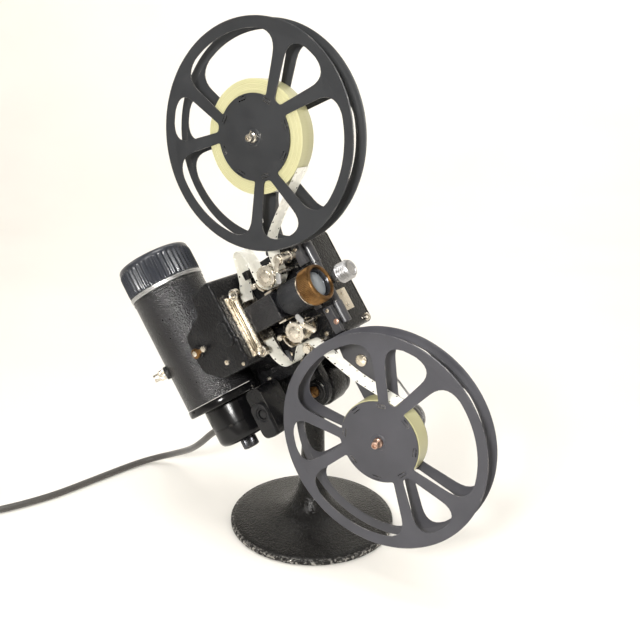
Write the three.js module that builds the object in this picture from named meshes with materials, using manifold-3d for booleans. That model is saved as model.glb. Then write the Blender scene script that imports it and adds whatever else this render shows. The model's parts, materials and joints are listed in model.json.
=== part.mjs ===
// A 16 mm film projector on a round pedestal: a head that tilts on one pin, with two reels,
// a lamp house over its motor, a shutter case, a film gate, a lens and two driven sprockets.
// Millimetres, +Z up. The origin is the centre of the pad under the base.
// The head is designed level: its own frame has the tilt pin at the origin, X along the lens
// axis towards the screen, Z up and Y away from the film side. It is then tilted by HEAD_TILT.
import * as THREE from "three";
import { mergeVertices } from "three/addons/utils/BufferGeometryUtils.js";
import Module from "manifold-3d";

const wasm = await Module();
wasm.setup();

// ---- driving dimensions ----
const GAP = 0.3; // between pieces that touch
const HEAD_TILT = 34; // degrees, lens raised
const PIN = { x: 13, z: 146, r: 4 }; // tilt pin
const BASE_R = 80;
const PAD_R = 74;
const FILM_Y = -76; // mid-plane of the film
const FILM_W = 16;
const FILM_T = 0.4; // ribbon thickness, thicker than real film
const OPTIC_Z = 79.2; // lens axis
const REEL = { r: 88.9, hub: 32, core: 26, flange: 0.8, near: -85.2, far: -66.8 };
const UPPER_REEL = { x: 111.6, z: 201, roll: 44 };
const LOWER_REEL = { x: 83.2, z: -53, roll: 34 };
const LAMP = { x: -51, y: FILM_Y, r: 33, wall: 1.6, bottom: 36.3, top: 143 };
const MOTOR = { x: -51, y: -72, r: 24, wall: 2, bottom: -7, top: 28.7 };
const SPROCKET = { x: 58.5, dz: 25.5, drum: 9, tip: 10.2, teeth: 8 };
const FILM_ON_SPROCKET = SPROCKET.tip + 0.6;
const SHAFT = { y: -44, r: 3 }; // shutter shaft, along X at OPTIC_Z
const CASE = { left: 20.3, right: 88, near: -60, far: -18, bottom: 34, top: 121, wall: 3 };
const SHUTTER = { r: 40, x: 6, t: 1.2 };
const GATE_X = 24.2; // film plane in the gate
const BELT = { y: -30, drive: 9, takeup: 14, t: 2.4 };
const CORD = { d: 6.8, layers: 2, columns: 4 };

// ---- looks ----
const CRACKLE = { color: 0x17171a, roughness: 0.55, metalness: 0.2 };
const GLOSS_BLACK = { color: 0x0c0c0e, roughness: 0.18, metalness: 0.2 };
const REEL_PAINT = { color: 0x2b2c30, roughness: 0.5, metalness: 0.3 };
const GREY_PAINT = { color: 0x34353a, roughness: 0.45, metalness: 0.3 };
const NICKEL = { color: 0xb9b2a3, roughness: 0.25, metalness: 1 };
const STEEL = { color: 0x8d8f92, roughness: 0.35, metalness: 1 };
const ALUMINIUM = { color: 0xa9a9a8, roughness: 0.4, metalness: 0.9 };
const BRASS = { color: 0x8a6232, roughness: 0.35, metalness: 0.9 };
const BAKELITE = { color: 0x1d1e21, roughness: 0.5, metalness: 0 };
const GLASS = { color: 0xc9d4da, roughness: 0.05, metalness: 0 };
const FILM = { color: 0xefecd4, roughness: 0.4, metalness: 0 };
const FELT = { color: 0x2d3a2c, roughness: 0.95, metalness: 0 };
const RUBBER = { color: 0x2e2b28, roughness: 0.7, metalness: 0 };

// ---- helpers ----
const rad = (deg) => (deg * Math.PI) / 180;

// A geometry as a solid, with shared vertices merged and its faces turned outwards.
function solid(geometry) {
  const bare = geometry.index ? geometry.toNonIndexed() : geometry.clone();
  bare.deleteAttribute("normal");
  bare.deleteAttribute("uv");
  const merged = mergeVertices(bare, 1e-4);
  const faces = [];
  for (let i = 0; i < merged.index.count; i += 3) {
    const [a, b, c] = [0, 1, 2].map((k) => merged.index.getX(i + k));
    if (a !== b && b !== c && c !== a) faces.push([a, b, c]);
  }
  const build = (list) =>
    new wasm.Manifold(
      new wasm.Mesh({
        numProp: 3,
        vertProperties: merged.attributes.position.array,
        triVerts: new Uint32Array(list.flat()),
      }),
    );
  const made = build(faces);
  return made.volume() > 0 ? made : build(faces.map(([a, b, c]) => [a, c, b]));
}

// A solid as a geometry that a mesh can hold.
function surface(manifold) {
  const mesh = manifold.getMesh();
  const positions = [];
  for (let i = 0; i < mesh.numVert; i++) {
    for (let k = 0; k < 3; k++) positions.push(mesh.vertProperties[i * mesh.numProp + k]);
  }
  const geometry = new THREE.BufferGeometry();
  geometry.setAttribute("position", new THREE.Float32BufferAttribute(positions, 3));
  geometry.setIndex([...mesh.triVerts]);
  geometry.computeVertexNormals();
  return geometry;
}

const join = (...parts) => surface(parts.map(solid).reduce((a, b) => a.add(b)));
const cut = (body, ...tools) =>
  surface(tools.map(solid).reduce((a, b) => a.subtract(b), solid(body)));
const common = (a, b) => surface(solid(a).intersect(solid(b)));

// Turns a geometry made about Z so that its axis runs along X or Y.
function along(axis, geometry) {
  if (axis === "x") geometry.rotateY(Math.PI / 2);
  if (axis === "y") geometry.rotateX(-Math.PI / 2);
  return geometry;
}

// A turned piece from [radius, height] points. A profile off the axis closes on itself.
function turned(profile, { axis = "z", segments = 14 } = {}) {
  const closed = profile[0][0] > 0 ? [...profile, profile[0]] : profile;
  const points = closed.map(([r, h]) => new THREE.Vector2(r, h));
  const geometry = new THREE.LatheGeometry(points, segments);
  return along(axis, geometry.rotateX(Math.PI / 2));
}

const disc = (r, from, to, options) =>
  turned([[0, from], [r, from], [r, to], [0, to]], options);
const ring = (inner, outer, from, to, options) =>
  turned([[inner, from], [outer, from], [outer, to], [inner, to]], options);

// A box from its lowest to its highest corner.
function block([x0, y0, z0], [x1, y1, z1]) {
  return new THREE.BoxGeometry(x1 - x0, y1 - y0, z1 - z0).translate(
    (x0 + x1) / 2,
    (y0 + y1) / 2,
    (z0 + z1) / 2,
  );
}

// An outline drawn in X and Z, as a plate from y0 to y1.
function plateXZ(shape, y0, y1, curveSegments = 4) {
  const options = { depth: y1 - y0, bevelEnabled: false, curveSegments };
  return new THREE.ExtrudeGeometry(shape, options).rotateX(Math.PI / 2).translate(0, y1, 0);
}

// An outline drawn in Y and Z, as a plate from x0 to x1.
function plateYZ(shape, x0, x1, curveSegments = 4) {
  const options = { depth: x1 - x0, bevelEnabled: false, curveSegments };
  const turn = new THREE.Matrix4().set(0, 0, 1, x0, 1, 0, 0, 0, 0, 1, 0, 0, 0, 0, 0, 1);
  return new THREE.ExtrudeGeometry(shape, options).applyMatrix4(turn);
}

// A closed outline through points, with each corner rounded by r.
function rounded(points, r) {
  const corner = points.map(([x, y]) => new THREE.Vector2(x, y));
  const shape = new THREE.Shape();
  corner.forEach((p, i) => {
    const before = corner[(i + corner.length - 1) % corner.length];
    const after = corner[(i + 1) % corner.length];
    const start = p.clone().add(before.clone().sub(p).setLength(r));
    const end = p.clone().add(after.clone().sub(p).setLength(r));
    if (i === 0) shape.moveTo(start.x, start.y);
    else shape.lineTo(start.x, start.y);
    shape.quadraticCurveTo(p.x, p.y, end.x, end.y);
  });
  shape.closePath();
  return shape;
}

function circle(x, y, r, Kind = THREE.Shape) {
  return new Kind().absarc(x, y, r, 0, 2 * Math.PI);
}

const polar = (cx, cz, r, deg) => [cx + r * Math.cos(rad(deg)), cz + r * Math.sin(rad(deg))];

// Points on an arc in X and Z, from one angle to another.
function arc(cx, cz, r, from, to, count) {
  return Array.from({ length: count }, (_, i) =>
    polar(cx, cz, r, from + ((to - from) * i) / (count - 1)),
  );
}

// Where a line from a point touches a circle; side +1 is the left-hand tangent.
function tangent(cx, cz, r, [px, pz], side) {
  const distance = Math.hypot(px - cx, pz - cz);
  const towards = Math.atan2(pz - cz, px - cx);
  const angle = towards + side * Math.acos(r / distance);
  return [cx + r * Math.cos(angle), cz + r * Math.sin(angle)];
}

const root = new THREE.Group();
const head = new THREE.Group();
head.position.set(PIN.x, 0, PIN.z);
head.rotation.y = -rad(HEAD_TILT);
root.add(head);

function add(parent, name, geometry, look) {
  const mesh = new THREE.Mesh(geometry, new THREE.MeshStandardMaterial(look));
  mesh.name = name;
  parent.add(mesh);
  return mesh;
}

function groupAt(parent, x, y, z) {
  const group = new THREE.Group();
  group.position.set(x, y, z);
  parent.add(group);
  return group;
}

// ---- pedestal ----
const KNUCKLE = { r: 17, half: 10.7, bore: PIN.r + 0.5 };
add(root, "base_pad", disc(PAD_R, 0, 2.5, { segments: 30 }), FELT);

const trumpet = turned(
  [
    [0, 2.8], [PAD_R + GAP, 2.8], [PAD_R + GAP, 0.8], [BASE_R, 0.8], [BASE_R, 4.6],
    [78, 6], [60, 8.4], [42, 11.4], [30, 15], [22, 21], [16.5, 31],
    [13.4, 45], [11.6, 70], [10.5, 105], [10.5, 141], [0, 141],
  ],
  { segments: 30 },
);
const knuckle = disc(KNUCKLE.r, -KNUCKLE.half, KNUCKLE.half, { axis: "y", segments: 20 });
knuckle.translate(PIN.x, 0, PIN.z);
const pinBore = disc(KNUCKLE.bore, -40, 40, { axis: "y" }).translate(PIN.x, 0, PIN.z);
add(root, "base_pedestal", cut(join(trumpet, knuckle), pinBore), CRACKLE);

const bolt = turned(
  [[0, -23.5], [5.4, -23.5], [5.4, -20.3], [PIN.r, -20.3], [PIN.r, 20.3], [7.5, 20.3], [7.5, 26],
    [0, 26]],
  { axis: "y" },
);
add(root, "tilt_bolt", bolt.translate(PIN.x, 0, PIN.z), BRASS);

// ---- head bracket: two lugs on the pin, a shelf under the gear case, a box for the wiring ----
const SHELF = { bottom: 24, top: 33.7 };
const LUG = { r: 15, near: [-20, -11], far: [11, 20] };
const WIRING = { x: [-56, -22], y: [-44, -20], z: [-4, 24.2] };
const lugs = [LUG.near, LUG.far].flatMap(([y0, y1]) => [
  disc(LUG.r, y0, y1, { axis: "y", segments: 20 }),
  block([-LUG.r, y0, 4], [LUG.r, y1, SHELF.bottom + 1]),
]);
const wiringBox = cut(
  block([WIRING.x[0], WIRING.y[0], WIRING.z[0]], [WIRING.x[1], WIRING.y[1], WIRING.z[1]]),
  block([WIRING.x[0] + 3, WIRING.y[0] + 3, WIRING.z[0] - 1], [-25, -23, 20]),
);
const bracket = join(
  block([-56, -44, SHELF.bottom], [40, -20, 28.4]),
  block([-16, -58, SHELF.bottom], [40, 20, SHELF.top]),
  wiringBox,
  ...lugs,
);
const glandHole = disc(4, -60, -50, { axis: "x" }).translate(0, -30, 6);
const lugBore = disc(KNUCKLE.bore, -40, 40, { axis: "y" });
add(head, "tilt_bracket", cut(bracket, lugBore, glandHole), CRACKLE);

// ---- gear case ----
const caseOutline = [
  [CASE.left, CASE.bottom], [CASE.right, CASE.bottom], [CASE.right, CASE.top], [CASE.left, CASE.top],
];
const sprocketZ = [OPTIC_Z + SPROCKET.dz, OPTIC_Z - SPROCKET.dz];
const shaftHoles = sprocketZ.map((z) =>
  disc(3.6, -62, -50, { axis: "y" }).translate(SPROCKET.x, 0, z),
);
const UPPER_ROLLER = [77.4, 110.5];
const LOWER_ROLLER = [62.5, 37.2];
const ROLLER = { r: 4.7, bore: 2.3, stud: 2 };
const studs = [UPPER_ROLLER, LOWER_ROLLER].map(([x, z]) =>
  turned(
    [[0, -86.4], [3.4, -86.4], [3.4, -84.4], [ROLLER.stud, -84.4], [ROLLER.stud, -67.6],
      [3.4, -67.6], [3.4, CASE.near + 1], [0, CASE.near + 1]],
    { axis: "y", segments: 10 },
  ).translate(x, 0, z),
);
const gearCase = cut(
  join(
    ...studs,
    plateXZ(rounded(caseOutline, 4), CASE.near, CASE.far),
    block([79.5, CASE.near - 4, CASE.bottom + 3], [CASE.right - 0.5, CASE.near + 1, 60]),
    block([79.5, CASE.near - 4, 99], [CASE.right - 0.5, CASE.near + 1, CASE.top - 3]),
    disc(5, 42, 115).translate(CASE.right - 0.5, -53, 0),
  ),
  block(
    [CASE.left + CASE.wall, CASE.near + CASE.wall, CASE.bottom + CASE.wall],
    [CASE.right - CASE.wall, CASE.far + 1, CASE.top - CASE.wall],
  ),
  disc(SHAFT.r + 0.8, 10, 100, { axis: "x" }).translate(0, SHAFT.y, OPTIC_Z),
  block([52, BELT.y - 4, CASE.bottom - 1], [84, BELT.y + 4, CASE.bottom + 5]),
  ...shaftHoles,
);
add(head, "main_frame", gearCase, CRACKLE);
add(head, "rear_cover", plateXZ(rounded(caseOutline, 4), CASE.far + GAP, CASE.far + 3), GLOSS_BLACK);

// ---- reel arms ----
const ARM = { near: -60, far: -50, bore: 4.5 };
const upperArm = join(
  plateXZ(
    rounded([[50, CASE.top + GAP], [68, CASE.top + GAP], [71.5, 138], [84, 161], [122, 193],
      [103, 209], [73, 164], [59.5, 138]], 2),
    ARM.near, ARM.far,
  ),
  disc(13, ARM.near, ARM.far, { axis: "y" }).translate(UPPER_REEL.x, 0, UPPER_REEL.z),
);
const upperBore = disc(ARM.bore, -70, -40, { axis: "y" }).translate(UPPER_REEL.x, 0, UPPER_REEL.z);
add(head, "upper_arm", cut(upperArm, upperBore), GREY_PAINT);
const lowerArm = join(
  plateXZ(
    rounded([[74, CASE.bottom - GAP], [72, 10], [72.5, -53], [94, -53], [98, 10],
      [95, CASE.bottom - GAP]], 3),
    ARM.near, ARM.far,
  ),
  disc(13, ARM.near, ARM.far, { axis: "y" }).translate(LOWER_REEL.x, 0, LOWER_REEL.z),
);
const lowerBore = disc(ARM.bore, -70, -40, { axis: "y" }).translate(LOWER_REEL.x, 0, LOWER_REEL.z);
add(head, "lower_arm", cut(lowerArm, lowerBore), GREY_PAINT);

// ---- reels: flanges, core, film roll and spindle turn together ----
// The bend from one point to another round the corner between them.
function bend([ax, ay], [cx, cy], [bx, by]) {
  const curve = new THREE.QuadraticBezierCurve(
    new THREE.Vector2(ax, ay),
    new THREE.Vector2(cx, cy),
    new THREE.Vector2(bx, by),
  );
  return curve.getPoints(1).map((p) => [p.x, p.y]);
}

// One window of a flange between two radii, widest at the outside, with rounded corners.
const CORNER = 6; // how far each rounded corner reaches
function windowHole({ inner, outer, innerSpan, outerSpan }, middle) {
  const side = (sign, radius, span) => polar(0, 0, radius, middle + sign * span);
  const slide = (sign, share) => {
    const [x0, y0] = side(sign, inner, innerSpan);
    const [x1, y1] = side(sign, outer, outerSpan);
    return [x0 + (x1 - x0) * share, y0 + (y1 - y0) * share];
  };
  const reach = Math.min(CORNER / (outer - inner), 0.4);
  const outerTurn = ((CORNER / outer) * 180) / Math.PI;
  const innerTurn = Math.min(((CORNER / inner) * 180) / Math.PI, innerSpan * 0.8);
  const outside = arc(0, 0, outer, middle - outerSpan + outerTurn, middle + outerSpan - outerTurn, 5);
  const inside = arc(0, 0, inner, middle + innerSpan - innerTurn, middle - innerSpan + innerTurn, 4);
  return new THREE.Path(
    [
      ...bend(slide(-1, 1 - reach), side(-1, outer, outerSpan), outside[0]),
      ...outside.slice(1, -1),
      ...bend(outside.at(-1), side(1, outer, outerSpan), slide(1, 1 - reach)),
      ...bend(slide(1, reach), side(1, inner, innerSpan), inside[0]),
      ...inside.slice(1, -1),
      ...bend(inside.at(-1), side(-1, inner, innerSpan), slide(-1, reach)),
    ].map(([x, y]) => new THREE.Vector2(x, y)),
  );
}

const LARGE_WINDOW = { inner: 34, outer: 79, innerSpan: 40, outerSpan: 33 };
const SMALL_WINDOW = { inner: 38, outer: 79, innerSpan: 5, outerSpan: 16 };
function flangePlate(turn) {
  const rim = arc(0, 0, REEL.r, 0, 360, 37).slice(0, -1);
  const shape = new THREE.Shape(rim.map(([x, y]) => new THREE.Vector2(x, y)));
  shape.holes.push(circle(0, 0, 4.8, THREE.Path));
  for (let i = 0; i < 3; i++) {
    shape.holes.push(windowHole(LARGE_WINDOW, turn + 120 * i));
    shape.holes.push(windowHole(SMALL_WINDOW, turn + 120 * i + 60));
  }
  return shape;
}

function reel(name, { x, z, roll }, turn, spindleBack) {
  const group = groupAt(head, x, 0, z);
  const front = plateXZ(flangePlate(turn), REEL.near, REEL.near + REEL.flange, 6);
  const back = plateXZ(flangePlate(turn), REEL.far - REEL.flange, REEL.far, 6);
  add(group, `${name}_reel_front`, front, REEL_PAINT);
  add(group, `${name}_reel_back`, back, REEL_PAINT);
  const [near, far] = [REEL.near + REEL.flange + GAP, REEL.far - REEL.flange - GAP];
  const core = turned(
    [[4.6, near], [REEL.core, near], [REEL.core, far], [REEL.core - 2, far],
      [REEL.core - 2, near + 2], [8, near + 2], [8, far], [4.6, far]],
    { axis: "y", segments: 20 },
  );
  add(group, `${name}_reel_core`, core, REEL_PAINT);
  const half = FILM_W / 2;
  const film = ring(REEL.core + GAP, roll, FILM_Y - half, FILM_Y + half, { axis: "y", segments: 26 });
  add(group, `${name}_film_roll`, film, FILM);
  const spindle = turned(
    [[0, -93], [2.6, -93], [3.2, -91.5], [3.2, -88.5], [4, -87.5], [4, REEL.far + GAP],
      [8, REEL.far + GAP], [8, ARM.near - GAP], [4, ARM.near - GAP], [4, spindleBack - 5],
      [7, spindleBack - 5], [7, spindleBack], [0, spindleBack]],
    { axis: "y" },
  );
  add(group, `${name}_spindle`, spindle, NICKEL);
}
reel("upper", UPPER_REEL, 77, ARM.far + 5.6);
reel("lower", LOWER_REEL, 100, BELT.y + 9.6);

// ---- take-up drive: a pulley on the lower spindle, and a spring belt from the upper gear ----
const takeupPulley = turned(
  [[4.4, BELT.y - 3.5], [BELT.takeup, BELT.y - 3.5], [BELT.takeup - 1.8, BELT.y - 1.4],
    [BELT.takeup - 1.8, BELT.y + 1.4], [BELT.takeup, BELT.y + 3.5], [4.4, BELT.y + 3.5]],
  { axis: "y", segments: 20 },
);
add(head, "takeup_pulley", takeupPulley.translate(LOWER_REEL.x, 0, LOWER_REEL.z), STEEL);

// The belt's loop round two pulleys, as an outline at a distance outside their grooves.
function beltLoop(offset) {
  const drive = [SPROCKET.x, sprocketZ[0], BELT.drive - 1.8 + offset];
  const takeup = [LOWER_REEL.x, LOWER_REEL.z, BELT.takeup - 1.8 + offset];
  const [dx, dz] = [takeup[0] - drive[0], takeup[1] - drive[1]];
  const heading = (Math.atan2(dz, dx) * 180) / Math.PI;
  const lean = (Math.acos((drive[2] - takeup[2]) / Math.hypot(dx, dz)) * 180) / Math.PI;
  return [
    ...arc(drive[0], drive[1], drive[2], heading + lean, heading + 360 - lean, 12),
    ...arc(takeup[0], takeup[1], takeup[2], heading - lean, heading + lean, 12),
  ].map(([x, z]) => new THREE.Vector2(x, z));
}
const beltShape = new THREE.Shape(beltLoop(GAP + BELT.t));
beltShape.holes.push(new THREE.Path(beltLoop(GAP)));
add(head, "takeup_belt", plateXZ(beltShape, BELT.y - BELT.t / 2, BELT.y + BELT.t / 2), STEEL);

// ---- lamp house ----
const lamp = groupAt(head, LAMP.x, LAMP.y, 0);
const lightHole = disc(11.2, 5, 60, { axis: "x" }).translate(0, 0, OPTIC_Z);
const SCREW_ANGLE = 226; // degrees round the lamp house from +X
const screwBoss = disc(6, 31.8, 36, { axis: "x" }).translate(0, 0, 76);
screwBoss.rotateZ(rad(SCREW_ANGLE));
const lampTube = ring(LAMP.r - LAMP.wall, LAMP.r, LAMP.bottom, LAMP.top, { segments: 30 });
const screwHole = disc(2.3, 25, 40, { axis: "x" }).translate(0, 0, 76).rotateZ(rad(SCREW_ANGLE));
add(lamp, "lamp_house", cut(join(lampTube, screwBoss), lightHole, screwHole), CRACKLE);
const lampScrew = turned(
  [[0, 28], [2, 28], [2, 36.3], [4.6, 36.3], [4.6, 41], [3.4, 42], [3.4, 46.5], [0, 46.5]],
  { axis: "x", segments: 16 },
);
add(lamp, "lamp_screw", lampScrew.translate(0, 0, 76).rotateZ(rad(SCREW_ANGLE)), NICKEL);
const collar = turned(
  [[9, 29], [LAMP.r + 0.6, 29], [LAMP.r + 0.6, 36], [LAMP.r - 2, 36], [LAMP.r - 2, 32], [9, 32]],
  { segments: 30 },
);
add(lamp, "lamp_collar", collar, GLOSS_BLACK);
add(lamp, "lamp_ring", ring(LAMP.r - 4, LAMP.r + 1, 143.3, 147, { segments: 30 }), ALUMINIUM);

const CAP = { flutes: 22, r: LAMP.r + 0.6, groove: 1.5, bottom: 147.3, top: 176 };
function flutedOutline() {
  const step = 360 / CAP.flutes;
  const points = [];
  for (let i = 0; i < CAP.flutes; i++) {
    for (const [part, r] of [[0, CAP.r], [0.5, CAP.r], [0.75, CAP.r - CAP.groove]]) {
      const [x, y] = polar(0, 0, r, step * (i + part));
      points.push(new THREE.Vector2(x, y));
    }
  }
  return new THREE.Shape(points);
}
const fluted = new THREE.ExtrudeGeometry(flutedOutline(), {
  depth: CAP.top - CAP.bottom,
  bevelEnabled: false,
}).translate(0, 0, CAP.bottom);
const dome = turned(
  [[0, CAP.bottom], [CAP.r + 1, CAP.bottom], [CAP.r + 1, 167], [31, 172.5], [24, 175.6],
    [0, CAP.top]],
  { segments: 22 },
);
const capHollow = disc(LAMP.r - 5, CAP.bottom - 1, CAP.top - 4, { segments: 20 });
add(lamp, "lamp_cap", cut(common(fluted, dome), capHollow), GLOSS_BLACK);

add(lamp, "lamp_socket", turned([[0, 50], [12, 50], [12, 62], [8, 62], [8, 53], [0, 53]]), BRASS);
const bulb = turned([[0, 53.5], [7.6, 53.5], [7.6, 63], [14, 70], [14, 118], [9, 127], [0, 130]]);
add(lamp, "lamp_bulb", bulb, GLASS);
const reflector = turned(
  [[0, -29.5], [7, -28.5], [13, -25.2], [13, -24], [7, -27.3], [0, -28.3]],
  { axis: "x" },
);
add(lamp, "lamp_reflector", reflector.translate(0, 0, OPTIC_Z), ALUMINIUM);

// ---- motor and blower under the lamp ----
const motor = groupAt(head, MOTOR.x, MOTOR.y, 0);
const inner = MOTOR.r - MOTOR.wall;
const motorShell = turned(
  [[3.2, MOTOR.bottom], [20, MOTOR.bottom], [MOTOR.r, MOTOR.bottom + 4], [MOTOR.r, MOTOR.top],
    [9, MOTOR.top], [9, MOTOR.top - 2], [inner, MOTOR.top - 2], [inner, MOTOR.bottom + 5],
    [19, MOTOR.bottom + 3], [3.2, MOTOR.bottom + 3]],
  { segments: 26 },
);
add(motor, "motor_housing", motorShell, GLOSS_BLACK);
const armature = turned(
  [[0, -12], [2.6, -12], [2.6, -1], [8, -1], [8, 3], [15, 3], [15, 21], [2.6, 21], [2.6, 47], [0, 47]],
);
add(motor, "motor_armature", armature, STEEL);
const blades = Array.from({ length: 8 }, (_, i) =>
  block([3, -0.8, 38], [22, 0.8, 46]).rotateZ(rad(45 * i)),
);
const fanBody = join(disc(6, 38, 46), disc(22, 38, 39), ...blades);
add(motor, "cooling_fan", cut(fanBody, disc(2.9, 30, 50)), ALUMINIUM);
const motorKnob = turned([[0, -17], [7, -17], [7.4, -16], [7.4, -8.5], [6.6, -7.6], [0, -7.6]]);
add(motor, "motor_knob", cut(motorKnob, disc(2.9, -12.3, 0)), NICKEL);

// ---- switch housing beside the motor, with its push button ----
const SWITCH = { near: -92, far: -60, x: -5.6, z: 5.7 };
const switchOutline = rounded([[-16.5, 28.7], [1, 28.7], [1, -15.5], [-16.5, -15.5]], 6);
const switchBody = cut(
  plateXZ(switchOutline, SWITCH.near, SWITCH.far),
  disc(4.6, -93, -70, { axis: "y" }).translate(SWITCH.x, 0, SWITCH.z),
  disc(MOTOR.r + GAP, -10, 30, { segments: 26 }).translate(MOTOR.x, MOTOR.y, 0),
);
add(head, "switch_housing", switchBody, BAKELITE);
const button = disc(4.2, -90.5, -74, { axis: "y" }).translate(SWITCH.x, 0, SWITCH.z);
add(head, "switch_button", button, BAKELITE);

// ---- shutter case, hugging the lamp house ----
const chamber = { r: SHUTTER.r + 2, wall: 3 };
const frontOutline = rounded([[-104, 47], [-40, 47], [-40, 124.2], [-104, 124.2]], 5);
const LEVER = { x: -24, z: 77 };
const shutterCase = cut(
  join(
    disc(chamber.r + chamber.wall, -10, 20, { axis: "x", segments: 26 })
      .translate(0, SHAFT.y, OPTIC_Z),
    plateYZ(frontOutline, -10, 20),
    block([-30, -106, 58], [-9, -50, 103]),
    block([-14, -108, 72], [14, -100, 98]),
    disc(6, -108, -104, { axis: "y" }).translate(LEVER.x, 0, LEVER.z),
  ),
  disc(LAMP.r + 0.4, 0, 200, { segments: 30 }).translate(LAMP.x, LAMP.y, 0),
  disc(chamber.r, -6, 21, { axis: "x", segments: 26 }).translate(0, SHAFT.y, OPTIC_Z),
  disc(9.4, -60, -3, { axis: "x" }).translate(0, FILM_Y, OPTIC_Z),
);
add(head, "shutter_housing", shutterCase, CRACKLE);
const lens = (r, x0, x1, bulge) =>
  turned(
    [[0, x0 - bulge], [r * 0.6, x0 - bulge * 0.6], [r, x0], [r, x1], [r * 0.6, x1 + bulge * 0.6],
      [0, x1 + bulge]],
    { axis: "x" },
  );
add(head, "condenser_lens", lens(9, -26, -22, 2.5).translate(0, FILM_Y, OPTIC_Z), GLASS);

// Two blades and two open sectors, on a hub.
const blade = new THREE.Shape();
blade.moveTo(7, 0);
for (const start of [0, 180]) {
  blade.absarc(0, 0, SHUTTER.r, rad(start), rad(start + 110), false);
  blade.absarc(0, 0, 7, rad(start + 112), rad(start + 178), false);
}
blade.closePath();
blade.holes.push(circle(0, 0, SHAFT.r + GAP, THREE.Path));
const shutterDisc = plateYZ(blade, SHUTTER.x, SHUTTER.x + SHUTTER.t, 8);
add(head, "shutter_disc", shutterDisc.translate(0, SHAFT.y, OPTIC_Z), STEEL);
const WORM = { r: 12.2, from: 50, to: 67 };
const shaft = turned(
  [[0, 0], [SHAFT.r, 0], [SHAFT.r, WORM.from], [WORM.r, WORM.from], [WORM.r, WORM.to],
    [SHAFT.r, WORM.to], [SHAFT.r, 107], [0, 107]],
  { axis: "x" },
);
add(head, "shutter_shaft", shaft.translate(0, SHAFT.y, OPTIC_Z), STEEL);
const turningKnob = cut(
  turned(
    [[0, 93], [6, 93], [6, 97], [8.4, 98.5], [8.4, 102], [7.4, 103], [8.4, 104], [8.4, 109],
      [7.4, 110.5], [0, 110.5]],
    { axis: "x" },
  ),
  disc(SHAFT.r + GAP, 92, 107.3, { axis: "x" }),
);
add(head, "inching_knob", turningKnob.translate(0, SHAFT.y, OPTIC_Z), NICKEL);
const leverGeometry = join(
  disc(4.6, -110.8, -108.3, { axis: "y" }),
  block([0, -110.8, -2.4], [14, -108.3, 2.4]),
  disc(3, -112.5, -108.3, { axis: "y" }).translate(12.5, 0, 0),
);
add(head, "clutch_lever", leverGeometry.translate(LEVER.x, 0, LEVER.z), BRASS);

// ---- gate ----
const GATE = { bottom: 50, top: 108 };
const aperture = cut(
  block([CASE.left, -91, GATE.bottom], [22.8, -62, GATE.top]),
  block([CASE.left - 1, FILM_Y - 4.8, OPTIC_Z - 3.6], [24, FILM_Y + 4.8, OPTIC_Z + 3.6]),
);
add(head, "aperture_plate", aperture, NICKEL);
const pressure = cut(
  block([25.2, -85, 60], [27.2, -67, 96]),
  block([25, FILM_Y - 4.8, OPTIC_Z - 3.6], [28, FILM_Y + 4.8, OPTIC_Z + 3.6]),
);
add(head, "pressure_plate", pressure, NICKEL);
const barEnds = [52.8, 104.7].map((z) => disc(4.8, -92.2, -86.8, { axis: "y" }).translate(0, 0, z));
const gateBar = join(block([-2.3, -91.4, 52.8], [2.3, -87, 104.7]), ...barEnds);
gateBar.translate(25.8, 0, 0);
add(head, "gate_bar", cut(gateBar, block([10, -91.4, 40], [23.1, -80, 120])), NICKEL);

// ---- lens: the carrier slides to open the gate, the barrel slides in it to focus ----
const MOUNT = { x0: 27.5, x1: 58.6, half: 11.5, near: -90, far: -60.4 };
const lensMount = cut(
  block([MOUNT.x0, MOUNT.near, OPTIC_Z - MOUNT.half], [MOUNT.x1, MOUNT.far, OPTIC_Z + MOUNT.half]),
  disc(10.3, 20, 70, { axis: "x" }).translate(0, FILM_Y, OPTIC_Z),
  block([20, -92, 40], [28.3, -86.5, 120]),
);
add(head, "lens_mount", lensMount, CRACKLE);
const barrel = turned(
  [[8.4, 33], [10, 33], [10, 63], [13.8, 63], [13.8, 84.5], [11.8, 84.5], [11.8, 66], [8.4, 62]],
  { axis: "x", segments: 20 },
);
add(head, "lens_barrel", barrel.translate(0, FILM_Y, OPTIC_Z), CRACKLE);
const brassRing = turned(
  [[12, 84.8], [14.2, 84.8], [15.6, 87], [15.6, 98], [14.8, 99.6], [12.6, 99.6], [12, 98]],
  { axis: "x", segments: 20 },
);
add(head, "lens_ring", brassRing.translate(0, FILM_Y, OPTIC_Z), BRASS);
add(head, "lens_glass", lens(11.6, 90, 92, 2).translate(0, FILM_Y, OPTIC_Z), GLASS);

// ---- sprockets, gears, shoes and rollers ----
function toothedRim(y0, y1) {
  const points = [];
  for (let i = 0; i < SPROCKET.teeth; i++) {
    const middle = (360 / SPROCKET.teeth) * i;
    for (const [deg, r] of [[-5, SPROCKET.drum], [0, SPROCKET.tip], [5, SPROCKET.drum]]) {
      points.push(new THREE.Vector2(...polar(0, 0, r, middle + deg)));
    }
  }
  return plateXZ(new THREE.Shape(points), y0, y1);
}
function sprocket(name, z, shaftEnd) {
  const group = groupAt(head, SPROCKET.x, 0, z);
  const body = turned(
    [[0, -85.5], [5, -85.5], [5, -84], [SPROCKET.drum - 0.3, -84], [SPROCKET.drum - 0.3, -80.5],
      [6.5, -80.5], [6.5, -71.5], [SPROCKET.drum - 0.3, -71.5], [SPROCKET.drum - 0.3, -68.5],
      [3, -68.5], [3, shaftEnd], [0, shaftEnd]],
    { axis: "y", segments: 12 },
  );
  const teeth = [toothedRim(-82.8, -81.4), toothedRim(-70.6, -69.2)];
  add(group, `${name}_sprocket`, join(body, ...teeth), NICKEL);
}
sprocket("upper", sprocketZ[0], -22);
sprocket("lower", sprocketZ[1], -36);
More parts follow.
